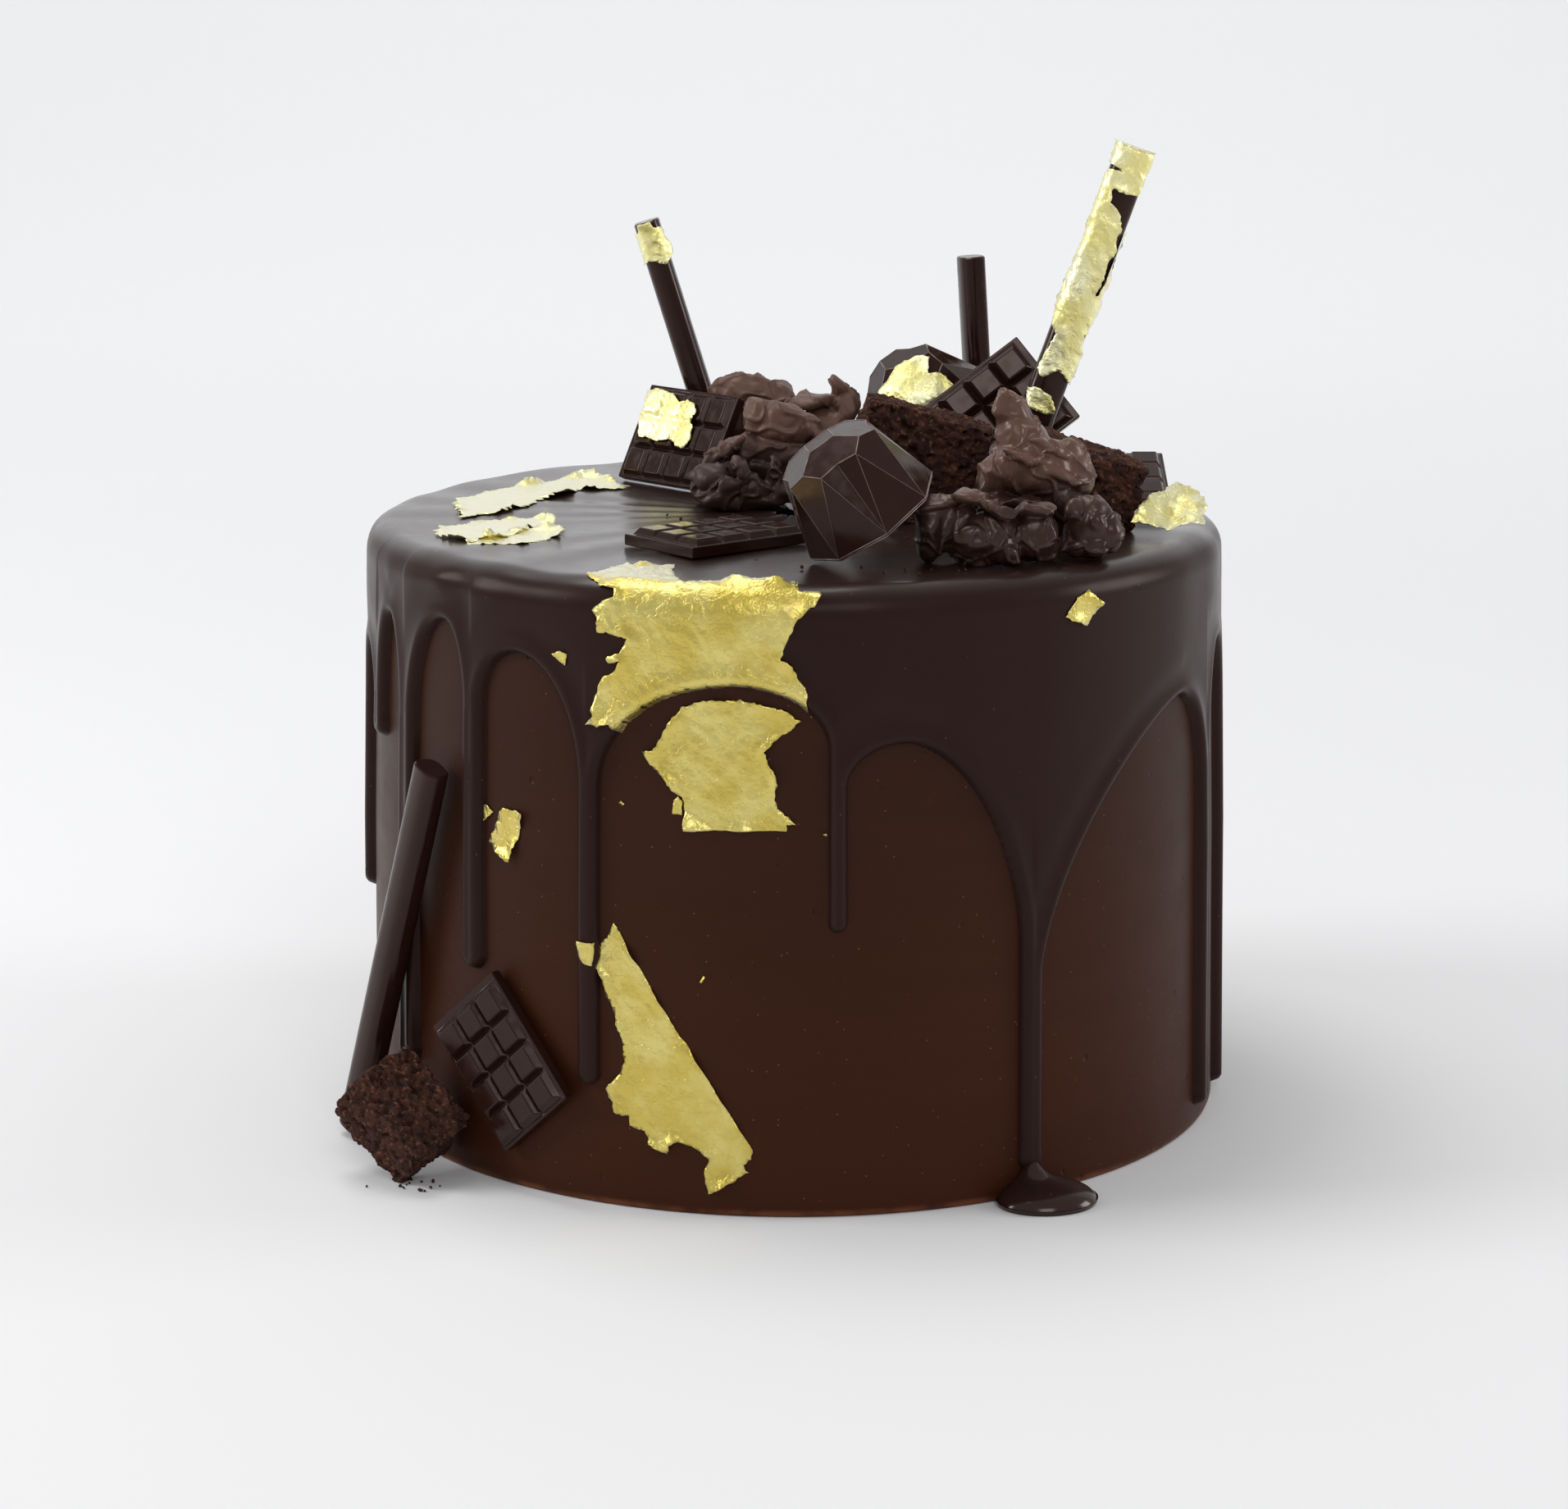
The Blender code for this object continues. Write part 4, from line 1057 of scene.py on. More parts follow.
# %% [markdown]
# ## Dipped pieces
# These are broken blocks of crisp filling, dipped in chocolate that set in the open air. Each piece
# is built up as one would model it in clay: a few flattened balls for its block, its shoulders, its
# feet and its raised lips, fused into one skin and smoothed. Slow noise then bends the skin and
# raises thin folds in it.

# %% Blobs of the dipped pieces
# Each blob: its place from the piece's middle, its three radii, and its tilt to the right in degrees
CHUNKS = {
    "cluster_peak": ((54.8, -49.0, 158.6), (
        ((-4.9, 0.0, 14.0), (3.6, 3.0, 6.2), -14), ((-3.0, 0.0, 9.2), (6.2, 5.2, 5.4), 0),
        ((0.0, 0.0, 2.6), (11.0, 8.0, 7.6), 6), ((9.2, 0.0, 2.2), (4.4, 5.2, 7.0), -16),
        ((-8.6, -1.0, 0.7), (4.4, 5.2, 6.0), 10), ((-4.7, -6.2, -4.4), (7.4, 3.0, 1.3), 8),
        ((5.6, 0.0, -6.2), (7.4, 6.4, 6.4), 0), ((0.0, 0.5, -10.0), (10.0, 6.6, 4.6), 0),
        ((-2.0, -7.2, 5.6), (6.2, 1.6, 1.1), 16), ((4.5, -7.0, 2.2), (6.0, 1.8, 1.2), 12),
        ((3.5, -4.0, 7.6), (6.4, 3.2, 1.5), 20),
    )),
    "cluster_front": ((45.8, -72.0, 150.0), (
        ((-15.2, 0.0, 1.0), (3.8, 4.4, 7.6), 12), ((-2.9, 0.0, -1.2), (9.6, 6.4, 6.2), 0),
        ((-14.4, -0.5, 7.4), (4.4, 3.4, 1.5), -26), ((-7.6, -1.2, 9.2), (4.2, 3.6, 1.4), 10),
        ((-1.0, -2.2, 6.0), (4.8, 3.8, 1.4), 24), ((7.4, -2.4, 5.4), (5.4, 3.8, 1.5), -6),
        ((-6.2, -5.4, -0.8), (4.0, 2.8, 3.6), 10), ((-5.2, -2.4, -5.6), (3.0, 3.0, 2.2), 0),
        ((8.2, 0.0, -0.6), (5.8, 5.4, 6.2), 0), ((2.4, -4.2, -3.6), (3.0, 2.6, 3.0), 20),
        ((-10.2, 0.4, 1.6), (4.4, 4.0, 6.4), 0),
    )),
    "cluster_nub": ((66.4, -64.6, 149.7), (
        ((0.0, 0.0, 0.0), (5.6, 5.2, 7.0), 0), ((-3.2, -1.6, 4.2), (3.0, 3.0, 2.8), 0),
        ((3.6, -1.2, -0.4), (3.0, 3.6, 4.6), -10), ((-3.4, -1.4, -3.4), (2.8, 3.0, 2.6), 0),
        ((1.2, -4.2, 2.0), (2.0, 1.6, 2.0), 0), ((0.4, -4.6, -2.8), (2.2, 1.4, 2.0), 0),
    )),
    "cluster_left": ((-6.6, 18.0, 155.2), (
        ((4.0, -1.0, 7.2), (8.6, 5.6, 5.0), 10), ((-2.2, -1.0, 8.8), (3.8, 4.2, 4.4), -12),
        ((1.6, 0.0, 0.0), (8.6, 6.0, 7.4), 0), ((-1.0, 0.0, -6.6), (9.0, 6.2, 5.2), 0),
        ((11.0, 0.0, 4.4), (5.0, 3.8, 2.0), 22), ((-5.4, -3.4, 1.0), (3.8, 1.6, 4.4), 24),
        ((5.4, -5.0, -1.8), (4.4, 1.6, 4.6), -20), ((-0.4, -5.6, -4.6), (5.0, 1.6, 2.2), 24),
    )),
    "cluster_back": ((-9.6, 45.0, 156.6), (
        ((-2.0, 0.0, 9.4), (9.4, 5.8, 5.6), 4), ((0.0, 0.0, 0.0), (9.6, 6.0, 9.4), 0),
        ((5.4, 0.0, 8.0), (4.4, 5.0, 4.6), 30), ((0.0, 0.0, -7.4), (9.8, 6.0, 5.4), 0),
    )),
    "cluster_middle": ((8.4, 33.0, 156.6), (
        ((3.6, 0.0, 11.4), (1.9, 2.6, 4.8), -22), ((-4.6, 0.0, 9.4), (7.0, 5.0, 2.0), -10),
        ((4.4, 0.0, 7.4), (4.0, 4.4, 4.4), 0), ((0.0, 0.0, 0.6), (7.6, 6.0, 8.0), 0),
        ((0.0, 0.0, -7.4), (8.0, 6.2, 5.0), 0), ((-3.4, -4.4, 4.4), (4.8, 1.6, 2.4), 20),
    )),
    "curl_left": ((-11.6, 4.4, 148.8), (
        ((-8.4, 0.0, 2.4), (4.0, 3.6, 3.8), 0), ((-6.8, -1.0, -2.4), (4.8, 3.8, 3.0), 0),
        ((-1.6, -1.0, 3.6), (1.5, 3.2, 4.8), -24), ((2.6, -1.0, 1.2), (4.4, 3.2, 1.3), 32),
        ((5.8, 0.0, 3.8), (1.5, 3.2, 4.6), 18), ((7.6, 0.0, -1.0), (3.6, 3.4, 3.8), 0),
        ((0.0, 0.0, -3.6), (10.0, 4.6, 2.6), 0), ((1.8, -3.0, -1.6), (3.4, 1.4, 3.2), -30),
        ((-4.0, -3.4, 0.4), (3.0, 1.3, 2.4), 36),
    )),
    "shard_left": ((-20.8, 13.4, 151.6), (
        ((5.0, -2.0, 5.4), (5.4, 2.6, 1.5), -38), ((1.2, 0.0, 1.0), (3.4, 3.0, 4.2), 16),
        ((-0.6, 0.0, -4.4), (3.8, 3.4, 4.6), 0), ((3.4, -1.0, -1.4), (1.5, 2.8, 4.6), 30),
    )),
}
print(sum(len(blobs) for _, blobs in CHUNKS.values()), "blobs in", len(CHUNKS), "pieces")


# %% Fusing the blobs
SKIN_VOXEL = 0.42
JUST_ABOVE = 0.1


def fused(blobs):
    """One smooth closed mesh over all the blobs, in mm about the piece's middle."""
    bm = bmesh.new()
    for place, radii, tilt in blobs:
        turn = Matrix.Rotation(math.radians(tilt), 4, "Y")
        matrix = Matrix.Translation(place) @ turn @ Matrix.Diagonal((*radii, 1.0))
        bmesh.ops.create_icosphere(bm, subdivisions=4, radius=1.0, matrix=matrix)
    draft = bpy.data.objects.new("draft", finished(bm, "blobs"))
    bpy.context.collection.objects.link(draft)
    skin = draft.modifiers.new("one skin", "REMESH")
    skin.mode = "VOXEL"
    skin.voxel_size = SKIN_VOXEL
    smooth = draft.modifiers.new("smoothed", "SMOOTH")
    smooth.factor = 0.6
    smooth.iterations = 3
    result = draft.evaluated_get(bpy.context.evaluated_depsgraph_get())
    fused_mesh = bpy.data.meshes.new_from_object(result)
    bpy.data.objects.remove(draft)
    return fused_mesh


def coat_fold(point, shift):
    """How far the coat moves at a point in mm: slow bends, thin raised folds, small bumps."""
    bend = noise.noise_vector(point * 0.10 + shift) * 1.5
    bend += noise.noise_vector(point * 0.25 - shift) * 0.8
    wander = point * 0.13 + noise.noise_vector(point * 0.16 + shift) * 0.45
    fold = 8.0 * max(0.10 - abs(noise.noise(wander - shift)), 0.0)
    small = 0.10 * noise.noise(point * 0.8 + shift)
    return bend, fold + small


def chunk_mesh(seed, centre, blobs):
    """A fused piece with its coat's folds, set in its place and kept above the top."""
    mesh = fused(blobs)
    shift = Vector((seed * 7.31, seed * 3.17, seed * 1.93))
    normals = [vert.normal.copy() for vert in mesh.vertices]
    for vert, normal in zip(mesh.vertices, normals):
        bend, rise = coat_fold(vert.co, shift)
        point = vert.co + bend + normal * rise + Vector(centre)
        point.z = max(point.z, TOP_HEIGHT + JUST_ABOVE)
        vert.co = point * MM
    return mesh


for seed, (node, (centre, blobs)) in enumerate(CHUNKS.items(), 1):
    dress_node(node, chunk_mesh(seed, centre, blobs), dipped, "coated")

# %% [markdown]
# ## Brownie
# The brownie is cut cake, so its faces are roughly flat, its edges crumble, and holes of several
# sizes open in it. A finely divided cube takes all three.

# %% Brownie pieces
BROWNIE_CUTS = 56
# Each piece: its middle, its half sizes, its turns in degrees and its seed
BROWNIES = {
    "brownie_back": ((29.4, -8.0, 156.2), (15.4, 8.4, 13.0), (0, 15, 4), 1),
    "brownie_right": ((67.0, -22.6, 153.4), (13.6, 8.2, 9.4), (4, 20, 6), 2),
    "brownie_foot": ((-90.5, -74.5, 14.3), (11.8, 9.0, 7.8), (23, 41, -26), 3),
}


def crumb_relief(point, seed):
    """Depth in mm of the crumb at a point in mm: soft lumps, and pits that open in them."""
    place = point + Vector((seed * 31.0, seed * 17.0, 5.0))
    relief = 0.5 * noise.noise(place * 0.22) + 0.5 * noise.noise(place * 0.7)
    relief += 0.3 * noise.noise(place * 1.6)
    pit = max(noise.noise(place * 0.55 + Vector((40.0, 0.0, 0.0))) - 0.16, 0.0)
    fine = max(noise.noise(place * 1.15 - Vector((40.0, 0.0, 0.0))) - 0.2, 0.0)
    return relief - 4.2 * pit - 2.0 * fine


def brownie_mesh(centre, half, turn, seed):
    """A finely divided cube, softened, bent and crumbled, then turned and set in its place."""
    bm = bmesh.new()
    bmesh.ops.create_cube(bm, size=2.0)
    bmesh.ops.subdivide_edges(bm, edges=bm.edges, cuts=BROWNIE_CUTS, use_grid_fill=True)
    bm.normal_update()
    spin = Euler([math.radians(a) for a in turn]).to_matrix()
    shift = Vector((seed * 5.7, seed * 2.9, seed * 8.3))
    on_floor = centre[2] < TOP_HEIGHT
    floor = 0.0 if on_floor else TOP_HEIGHT + JUST_ABOVE
    for vert in bm.verts:
        square = vert.co.copy()
        away = (square.normalized() * 0.4 + vert.normal).normalized()
        point = square.lerp(square.normalized() * 1.28, 0.10)
        point += noise.noise_vector(square * 1.9 + shift) * 0.11
        point = Vector([point[i] * half[i] for i in range(3)])
        point += away * crumb_relief(point, seed)
        point = spin @ point + Vector(centre)
        point.z = max(point.z, floor)
        flat = Vector((point.x, point.y))
        if on_floor and flat.length < BASE_RADIUS + GAP:
            point.x, point.y = flat.normalized() * (BASE_RADIUS + GAP)
        vert.co = point * MM
    bmesh.ops.recalc_face_normals(bm, faces=bm.faces)
    return finished(bm, "brownie")


for node, values in BROWNIES.items():
    dress_node(node, brownie_mesh(*values), brownie, "sponge")


# %% Loose crumbs
# Where crumbs fell: middle of the patch, its reach, and how many
CRUMB_PATCHES = (
    ((-86.0, -84.0, 0.0), 9.0, 16), ((22.0, -84.0, TOP_HEIGHT), 26.0, 14),
    ((66.0, -68.0, TOP_HEIGHT), 14.0, 10), ((-14.0, -22.0, TOP_HEIGHT), 24.0, 12),
)
FLAT_TOP_RADIUS = 92.0


def crumbs_mesh():
    """Small uneven balls that lie on the floor by the foot and on the top round the heap."""
    chance = np.random.default_rng(61)
    bm = bmesh.new()
    for (x, y, floor), reach, count in CRUMB_PATCHES:
        for _ in range(count):
            size = chance.uniform(0.25, 0.6)
            across, back = chance.normal(0.0, reach / 2, 2)
            edge = BASE_RADIUS if floor == 0.0 else FLAT_TOP_RADIUS
            beyond = math.hypot(x + across, y + back) - edge
            if (beyond < 1.0) == (floor == 0.0):
                continue
            place = Matrix.Translation((x + across, y + back, floor + 0.75 * size))
            turn = Euler(chance.uniform(0.0, 3.0, 3)).to_matrix().to_4x4()
            shape = Matrix.Diagonal((size, size * 0.8, size * 0.7, 1.0))
            bmesh.ops.create_icosphere(bm, subdivisions=1, radius=1.0, matrix=place @ turn @ shape)
    for vert in bm.verts:
        vert.co.z = max(vert.co.z, 0.0)
        vert.co *= MM
    return finished(bm, "crumbs")


dress("loose-crumbs", crumbs_mesh(), brownie, "sponge", smooth=False)

# %% [markdown]
# ## Gold leaf on the cake
# A leaf tears with a ragged edge and lies in every hollow of what it is put on. Each leaf starts as
# a plain outline in mm on the unrolled surface. Its edge is broken up by noise, its inside is cut
# into small cells, and each point is then laid on the surface, raised by creases and by loose edges
# that curl away.


# %% Tearing and cutting a leaf
TEAR_STEP = 0.7


def torn(outline, amount, seed, straight=()):
    """The outline in steps of TEAR_STEP mm, moved in or out by noise but for its straight sides."""
    ragged = []
    for side, (start, end) in enumerate(zip(outline, outline[1:] + outline[:1])):
        start, end = Vector(start), Vector(end)
        steps = max(1, round((end - start).length / TEAR_STEP))
        across = Vector((end.y - start.y, start.x - end.x)).normalized()
        tear = 0.05 if side in straight else amount
        for step in range(steps):
            point = start.lerp(end, step / steps)
            spot = Vector((point.x, point.y, seed * 9.7))
            shift = 0.5 * noise.noise(spot * 0.5) + 0.6 * noise.noise(spot * 1.3)
            shift += 0.4 * noise.noise(spot * 3.1)
            ragged.append(tuple(point + across * (shift * tear)))
    return ragged


def cut_sheet(outline, cell):
    """Triangles of the flat outline, cut along lines cell mm apart: points, faces and border."""
    bm = bmesh.new()
    bm.faces.new([bm.verts.new((u, v, 0.0)) for u, v in outline])
    for axis, normal in enumerate(((1.0, 0.0, 0.0), (0.0, 1.0, 0.0))):
        values = [point[axis] for point in outline]
        line = math.ceil(min(values) / cell) * cell
        while line < max(values):
            parts = bm.verts[:] + bm.edges[:] + bm.faces[:]
            plane = [line * c for c in normal]
            bmesh.ops.bisect_plane(bm, geom=parts, dist=1e-5, plane_co=plane, plane_no=normal)
            line += cell
    bmesh.ops.triangulate(bm, faces=bm.faces)
    bm.verts.index_update()
    points = np.array([vert.co[:2] for vert in bm.verts])
    faces = np.array([[vert.index for vert in face.verts] for face in bm.faces])
    border = np.array([[v.index for v in edge.verts] for edge in bm.edges if edge.is_boundary])
    bm.free()
    return points, faces, border


def to_edge(points, border):
    """Distance of each point from the torn edge."""
    start, end = points[border[:, 0]], points[border[:, 1]]
    along = end - start
    share = np.einsum("pbi,bi->pb", points[:, None] - start, along) / (along**2).sum(axis=1)
    nearest = start + np.clip(share, 0.0, 1.0)[..., None] * along
    return np.sqrt(((points[:, None] - nearest) ** 2).sum(axis=-1)).min(axis=1)


print("leaf tools ready")

# %% Laying a leaf
LEAF_THICKNESS = 0.1
LEAF_GAP = 0.06


def creases(points, edge, seed, loose, crinkle):
    """How far each point of a leaf stands off the surface, in mm."""
    lifts = []
    for (u, v), inset in zip(points, edge):
        spot = Vector((u, v, seed * 3.1))
        fold = 0.30 - abs(noise.noise(spot * 0.33 + noise.noise_vector(spot * 0.12) * 1.5))
        grain = 0.25 - abs(noise.noise(spot * 0.9))
        curl = max(noise.noise(spot * 0.16 + Vector((7.0, 3.0, 0.0))) + 0.12, 0.0)
        curl *= max(1.0 - inset / 2.6, 0.0) ** 1.5
        lifts.append(crinkle * (max(fold, 0.0) + 0.4 * max(grain, 0.0)) + loose * curl)
    return np.array(lifts)


def leaf_mesh(outline, lay, seed, tear=0.9, cell=0.9, loose=2.6, crinkle=0.8, straight=()):
    """A torn leaf laid by lay(points, lift), closed on both sides."""
    points, faces, border = cut_sheet(torn(outline, tear, seed, straight), cell)
    lift = LEAF_GAP + creases(points, to_edge(points, border), seed, loose, crinkle)
    upper, lower = lay(points, lift + LEAF_THICKNESS), lay(points, lift)
    count = len(points)
    sides = [(a, b, b + count) for a, b in border] + [(a, b + count, a + count) for a, b in border]
    faces = np.concatenate([faces, faces[:, ::-1] + count, np.array(sides)])
    return outward(mesh_of("leaf", np.concatenate([upper, lower]), faces))


def on_glaze(points, lift):
    """Leaf coordinates on the glaze: mm round the cake, and run."""
    return glaze_points(points[:, 0] / MM_PER_DEGREE, points[:, 1], lift)


def on_side(points, lift):
    """Leaf coordinates on the bare side: mm round the cake, and height."""
    azimuth, height = points[:, 0] / MM_PER_DEGREE, points[:, 1]
    return cylinder(azimuth, core_radius(height) + drag(azimuth, height) + lift, height)


def on_top(points, lift):
    """Leaf coordinates on the flat top, in mm across and back."""
    return np.column_stack([points, TOP_HEIGHT + lift])


def unrolled(outline):
    """Turns azimuths in degrees into mm round the cake."""
    return [(azimuth * MM_PER_DEGREE, height) for azimuth, height in outline]


print("leaf thickness", LEAF_THICKNESS, "mm")

# %% Leaves on the glaze and the side
# Each leaf: what it lies on, and its outline as azimuth in degrees and run or height in mm
LEAVES = {
    "gold_rim": (on_glaze, (
        (-27.7, 145.6), (-27.1, 152.3), (-27.1, 162.1), (-25.4, 159.3), (-19.4, 163.8), (-18.3, 158.0),
        (-14.5, 144.9), (-13.1, 145.5), (-7.8, 147.0), (-1.2, 145.6), (0.4, 145.8), (0.6, 142.8),
        (3.0, 142.8), (3.4, 141.4), (2.3, 139.0), (0.5, 136.4), (-0.9, 131.3), (-1.7, 127.3),
        (-0.5, 126.5), (0.5, 123.2), (1.5, 120.6), (1.5, 116.5), (2.2, 113.9), (0.5, 115.6),
        (-1.5, 117.8), (-4.8, 119.8), (-7.6, 120.4), (-10.9, 119.3), (-13.8, 117.0), (-17.4, 114.4),
        (-18.6, 110.5), (-20.2, 109.9), (-20.3, 106.6), (-21.0, 104.8), (-21.7, 106.3), (-21.9, 109.3),
        (-22.6, 111.8), (-24.0, 110.9), (-26.2, 110.9), (-24.9, 113.0), (-24.9, 117.1), (-23.9, 121.4),
        (-22.0, 123.7), (-21.3, 125.8), (-23.1, 125.2), (-23.3, 126.3), (-21.5, 127.7), (-20.4, 130.8),
        (-22.0, 131.3), (-24.2, 132.0), (-24.0, 135.5), (-25.1, 136.5), (-24.5, 137.7), (-22.4, 139.5),
        (-22.6, 141.1), (-24.6, 142.0),
    )),
    "gold_flake_right": (on_glaze, (
        (35.2, 133.3), (37.3, 137.2), (39.2, 138.4), (41.2, 135.4), (38.9, 130.4),
    )),
    "gold_front": (on_side, (
        (-15.0, 113.8), (-14.0, 115.7), (-11.6, 117.3), (-8.2, 118.0), (-4.9, 117.4), (-1.6, 115.9),
        (0.9, 113.4), (-0.8, 110.8), (-2.2, 109.3), (-3.7, 106.6), (-3.2, 104.0), (-2.2, 101.4),
        (-2.0, 99.2), (-2.4, 96.5), (-2.0, 93.9), (-0.7, 92.1), (0.2, 90.6), (-0.9, 90.4), (-0.9, 89.0),
        (-13.6, 88.6), (-13.5, 92.5), (-13.9, 95.8), (-15.0, 96.9), (-16.3, 100.1), (-18.1, 102.5),
        (-19.1, 105.4), (-17.5, 106.0), (-16.3, 110.2),
    )),
    "gold_side": (on_side, (
        (-22.9, 66.1), (-21.9, 63.5), (-14.0, 40.7), (-13.4, 39.9), (-5.1, 15.9), (-5.3, 13.8),
        (-6.4, 12.2), (-5.6, 10.7), (-10.5, 5.2), (-11.0, 7.5), (-11.1, 10.2), (-10.5, 13.4),
        (-11.5, 15.4), (-12.7, 16.2), (-14.4, 16.9), (-15.4, 16.4), (-15.7, 13.9), (-18.1, 15.9),
        (-18.8, 18.5), (-20.8, 19.6), (-20.9, 21.8), (-22.7, 22.5), (-23.1, 25.3), (-23.9, 27.6),
        (-22.3, 30.7), (-21.6, 34.5), (-21.6, 38.2), (-22.3, 42.3), (-23.0, 46.5), (-24.1, 48.9),
        (-23.8, 51.0), (-24.1, 52.9), (-25.2, 55.6), (-24.8, 57.5), (-25.2, 59.9), (-23.7, 62.7),
    )),
    "gold_flake_left": (on_side, (
        (-42.2, 80.0), (-39.8, 88.6), (-36.0, 88.2), (-37.3, 81.5), (-38.3, 76.3),
    )),
}
# Sides of an outline, counted from its start, that were cut and not torn
STRAIGHT_SIDES = {"gold_front": (18,), "gold_side": (1, 3)}
# Leaves on the flat top, in mm across and back
TOP_LEAVES = {
    "gold_top_far": (
        (-80.0, -8.0), (-84.0, 18.0), (-77.0, 33.0), (-62.5, 50.0), (-53.0, 60.0),
        (-48.0, 52.0), (-42.0, 42.0), (-43.0, 37.0), (-53.0, 36.0), (-63.0, 18.0),
        (-70.0, 0.0),
    ),
    "gold_top_near": (
        (-84.0, -34.0), (-84.0, -24.0), (-72.0, -12.5), (-59.5, -9.5), (-56.0, -21.0),
        (-62.0, -27.0), (-67.0, -40.0), (-75.5, -45.0),
    ),
}
for seed, (node, (lay, outline)) in enumerate(LEAVES.items(), 1):
    mesh = leaf_mesh(unrolled(outline), lay, seed, 0.6, straight=STRAIGHT_SIDES.get(node, ()))
    dress_node(node, mesh, gold, "gold")
for seed, (node, outline) in enumerate(TOP_LEAVES.items(), 11):
    mesh = leaf_mesh(outline, on_top, seed, 2.2, 1.2, crinkle=0.5)
    dress_node(node, mesh, gold_with_painted_reflection, "gold")

# %% [markdown]
# ## Loose flakes and gold on other pieces
# Small torn bits lie round the larger leaves. More leaf is pressed on the sticks, a bonbon and a
# tablet: on a stick it wraps round the section, and on the others each point is pushed against the
# piece from the front, where it bridges narrow grooves as real leaf does.


# %% Loose flakes
FLAKES = {
    "gold-bit-left": (on_side, (
        (-46.4, 84.5), (-45.0, 88.2), (-42.6, 88.3), (-41.4, 87.0), (-44.2, 82.9),
    )),
    "gold-bit-shoulder": (on_glaze, (
        (-30.8, 125.9), (-29.6, 126.8), (-28.7, 126.1), (-29.1, 123.4),
    )),
    "gold-bit-drip": (on_glaze, (
        (-27.3, 61.7), (-25.0, 61.4), (-25.3, 56.1), (-26.3, 56.8), (-27.0, 58.1),
    )),
    "gold-bit-front": (on_side, (
        (-15.2, 91.9), (-15.0, 95.0), (-14.4, 96.0), (-13.8, 94.7), (-13.9, 91.7),
    )),
    "gold-speck-left": (on_side, ((-22.2, 93.4), (-21.9, 94.0), (-21.4, 93.3), (-21.8, 92.8))),
    "gold-speck-right": (on_side, ((3.5, 88.2), (3.9, 88.5), (4.1, 88.0), (3.8, 87.7))),
    "gold-speck-low": (on_side, ((-11.6, 54.4), (-11.1, 55.8), (-10.9, 55.7), (-11.3, 54.2))),
}
for seed, (name, (lay, outline)) in enumerate(FLAKES.items(), 31):
    mesh = leaf_mesh(unrolled(outline), lay, seed, 0.3, 0.6, loose=1.6)
    dress(name, mesh, gold, "gold")
TOP_BIT = ((-75.2, -47.0), (-67.0, -30.7), (-54.3, -24.8), (-54.3, -36.6), (-62.0, -47.0))
top_bit = leaf_mesh(TOP_BIT, on_top, 39, 2.0, 1.2, crinkle=0.5)
dress("gold-bit-top", top_bit, gold_with_painted_reflection, "gold")


# %% Gold on sticks
def on_stick(node, turned=0.0):
    """Lays a leaf round a stick: mm round its section from the front, and mm down from its tip."""
    foot, tip, facing = [Vector(value) for value in STICKS[node]]
    along, side, back = stick_axes(foot, tip, facing)
    corners = stick_section(np.linspace(0.0, 0.5, STICK_SIDES))
    steps = np.linalg.norm(np.diff(corners, axis=0), axis=1)
    round_mm = np.concatenate([[0.0], np.cumsum(steps)])

    def lay(points, lift):
        around, down = np.abs(points[:, 0] + turned), points[:, 1]
        across = np.interp(around, round_mm, corners[:, 0]) * np.sign(points[:, 0] + turned)
        behind = np.interp(around, round_mm, corners[:, 1])
        grow = 1.0 + lift[:, None] / 4.0
        place = across[:, None] * np.array(side) * grow
        place += (behind + np.maximum(-down, 0.0))[:, None] * np.array(back) * grow
        below = TIP_SHORT + np.where(down > 0.0, down, -np.minimum(lift, 0.6))
        place += np.array(tip) - below[:, None] * np.array(along)
        place[:, 2] = np.minimum(place[:, 2], solid_box[1][2] / MM)
        return place

    return lay


STICK_LEAVES = {
    "gold-on-right-stick": (on_stick("stick_right"), (
        (-7.0, -4.5), (6.5, -4.5), (7.0, 0.0), (6.5, 3.0), (4.2, 6.0), (3.6, 10.0), (0.3, 10.6),
        (-1.9, 10.2), (-1.3, 13.6), (1.4, 15.3), (2.4, 18.6), (2.9, 24.0), (2.4, 29.0), (2.6, 35.4),
        (3.2, 35.2), (3.5, 29.0), (3.9, 24.0), (4.4, 20.0), (7.0, 19.0), (7.0, 40.0), (6.0, 44.8),
        (3.6, 45.0), (4.3, 48.0), (6.5, 50.0), (6.0, 56.0), (4.5, 57.4), (0.6, 55.0), (-2.3, 58.0),
        (-4.4, 56.2), (-3.2, 50.5), (-2.6, 47.2), (-4.6, 44.0), (-7.0, 39.5), (-7.0, 8.0),
        (-4.5, 6.3), (-1.3, 5.8), (-4.4, 5.0), (-7.0, 4.5),
    )),
    "gold-low-on-right-stick": (on_stick("stick_right"), (
        (-5.4, 61.5), (-2.4, 60.4), (1.0, 61.3), (3.2, 65.1), (1.2, 65.8), (-3.7, 66.0), (-4.6, 63.1),
    )),
    "gold-on-left-stick": (on_stick("stick_left", -6.8), (
        (-5.0, 2.5), (-2.2, 2.2), (-1.5, 0.2), (1.2, 0.0), (1.8, 1.8), (5.0, 2.4), (5.5, 9.0),
        (2.0, 11.6), (-1.5, 9.5), (-5.0, 10.5),
    )),
}
for seed, (name, (lay, outline)) in enumerate(STICK_LEAVES.items(), 41):
    mesh = leaf_mesh(outline, lay, seed, 0.5, 0.7, loose=1.4, crinkle=1.3)
    dress(name, mesh, gold_with_painted_reflection, "gold")


# %% Gold pressed on a bonbon and a tablet
PRESSED_LIFT = 0.12
BRIDGED = 0.7
RAY_START = 40.0


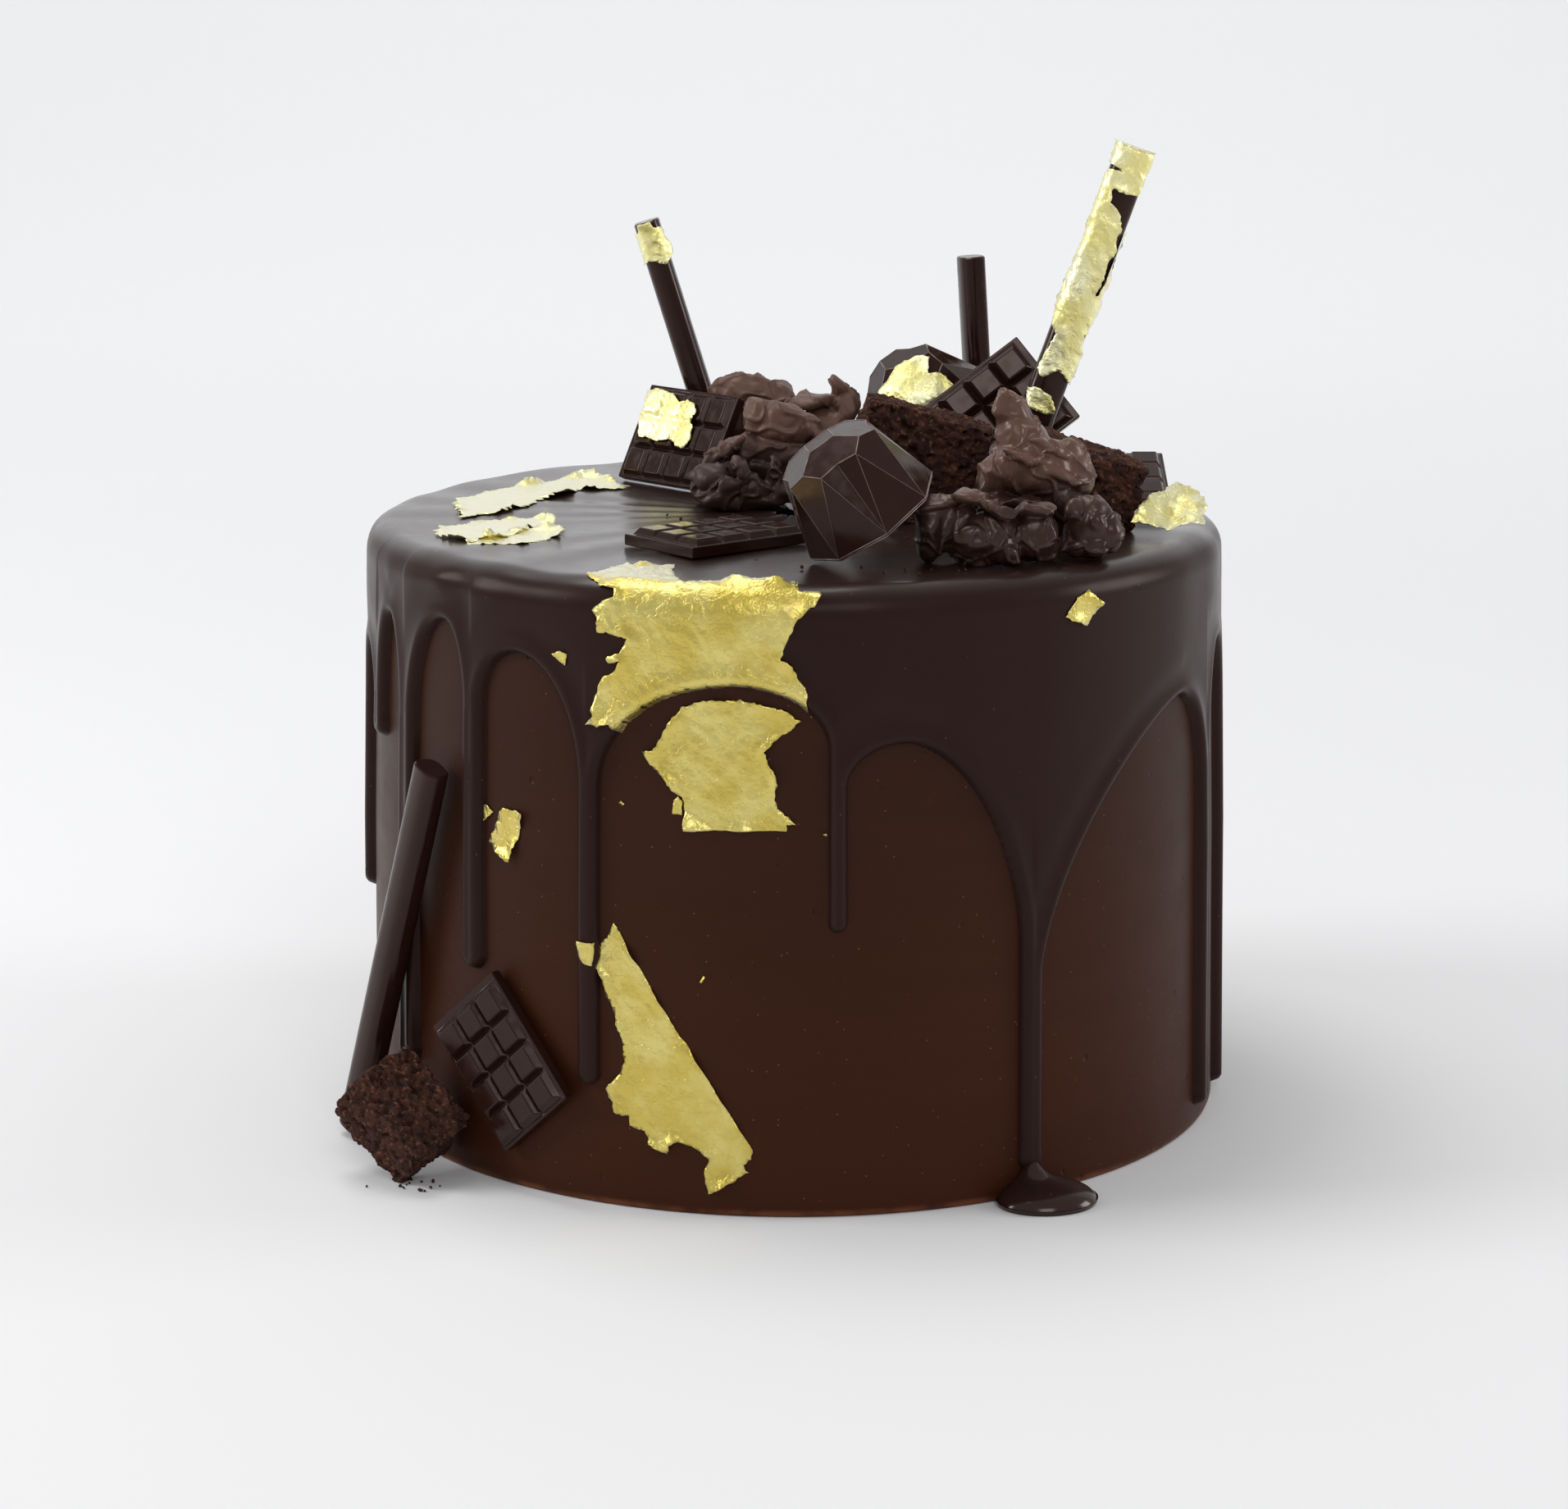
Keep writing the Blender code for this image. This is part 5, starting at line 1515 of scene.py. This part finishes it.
def pressed_on(piece, plane_y):
    """Lays a leaf on a piece, from its outline across and up in the upright plane at plane_y."""
    mesh = piece.data
    places = [vert.co / MM for vert in mesh.vertices]
    tree = BVHTree.FromPolygons(places, [face.vertices[:] for face in mesh.polygons])
    centre = sum(places, Vector()) / len(places)
    push = (centre - Vector(camera.location) / MM).normalized()

    def depth(u, v):
        start = Vector((u, plane_y, v)) - RAY_START * push
        return tree.ray_cast(start, push)[3]

    def lay(points, lift):
        laid = []
        for (u, v), above in zip(points, lift):
            around = [(u, v), (u + BRIDGED, v), (u - BRIDGED, v), (u, v + BRIDGED), (u, v - BRIDGED)]
            hits = [hit for hit in (depth(*spot) for spot in around) if hit]
            reach = (min(hits) if hits else RAY_START) - above - PRESSED_LIFT
            laid.append(Vector((u, plane_y, v)) + push * (reach - RAY_START))
        return np.array(laid)

    return lay


BACK_GEM_LEAF = (
    (19.1, 168.0), (22.5, 171.9), (24.9, 175.9), (30.3, 178.9), (33.3, 178.4), (33.1, 174.4),
    (36.3, 174.4), (39.8, 171.0), (41.7, 170.5), (35.9, 165.0), (32.4, 164.0), (28.5, 163.6),
    (24.5, 165.5),
)
TABLET_LEAF = (
    (-36.4, 171.0), (-32.4, 171.0), (-30.0, 169.9), (-28.3, 167.6), (-26.2, 168.4), (-24.4, 167.2),
    (-24.0, 165.1), (-25.4, 163.0), (-25.0, 161.8), (-25.3, 159.3), (-26.3, 156.8), (-28.0, 155.7),
    (-29.6, 156.8), (-30.5, 158.4), (-32.1, 158.0), (-34.6, 157.8), (-36.3, 158.6), (-38.6, 158.9),
    (-38.6, 163.9), (-37.4, 167.6),
)
# Each pressed leaf: the piece, the depth of the plane its outline is drawn in, and the outline
PRESSED_LEAVES = {
    "gold-on-gem": ("gem-back", 22.0, BACK_GEM_LEAF),
    "gold-on-tablet": ("tablet-left", 20.0, TABLET_LEAF),
}
for seed, (name, (target, plane_y, outline)) in enumerate(PRESSED_LEAVES.items(), 51):
    lay = pressed_on(bpy.data.objects[target], plane_y)
    mesh = leaf_mesh(outline, lay, seed, 0.6, 0.7, loose=1.2, crinkle=1.2)
    dress(name, mesh, gold_with_painted_reflection, "gold")


# %% Crumpled leaf by the heap
CRUMPLE_SIDE = 20.0


def crumpled(points, lift):
    """A sheet that rises from the top near the rim, folded in deep waves along its length."""
    u, v = points[:, 0] / CRUMPLE_SIDE, points[:, 1] / CRUMPLE_SIDE
    corner, along, back = np.array((77.8, -37.0)), np.array((17.0, -2.0)), np.array((8.0, 17.0))
    base = corner + u[:, None] * along + v[:, None] * back
    fold = 1.6 * np.sin(9.0 * u + 2.2 * v) * np.sin(np.pi * np.minimum(v + 0.15, 1.0))
    height = 2.1 + 9.4 * v * (1.0 - 0.45 * u) + fold + 0.85 * lift
    return np.column_stack([base[:, 0], base[:, 1] - 0.5 * lift, TOP_HEIGHT + height])


CRUMPLE_OUTLINE = [
    (0.0, 2.0), (2.0, 13.0), (6.0, 20.0), (12.4, 18.4), (17.2, 11.0), (20.0, 1.6),
    (16.0, 0.0), (10.0, 1.2), (4.0, 0.0),
]
crumple = leaf_mesh(CRUMPLE_OUTLINE, crumpled, 21, tear=1.0, loose=1.2, crinkle=1.6)
dress("crumpled-gold", crumple, gold_with_painted_reflection, "gold", "gold_crumple")
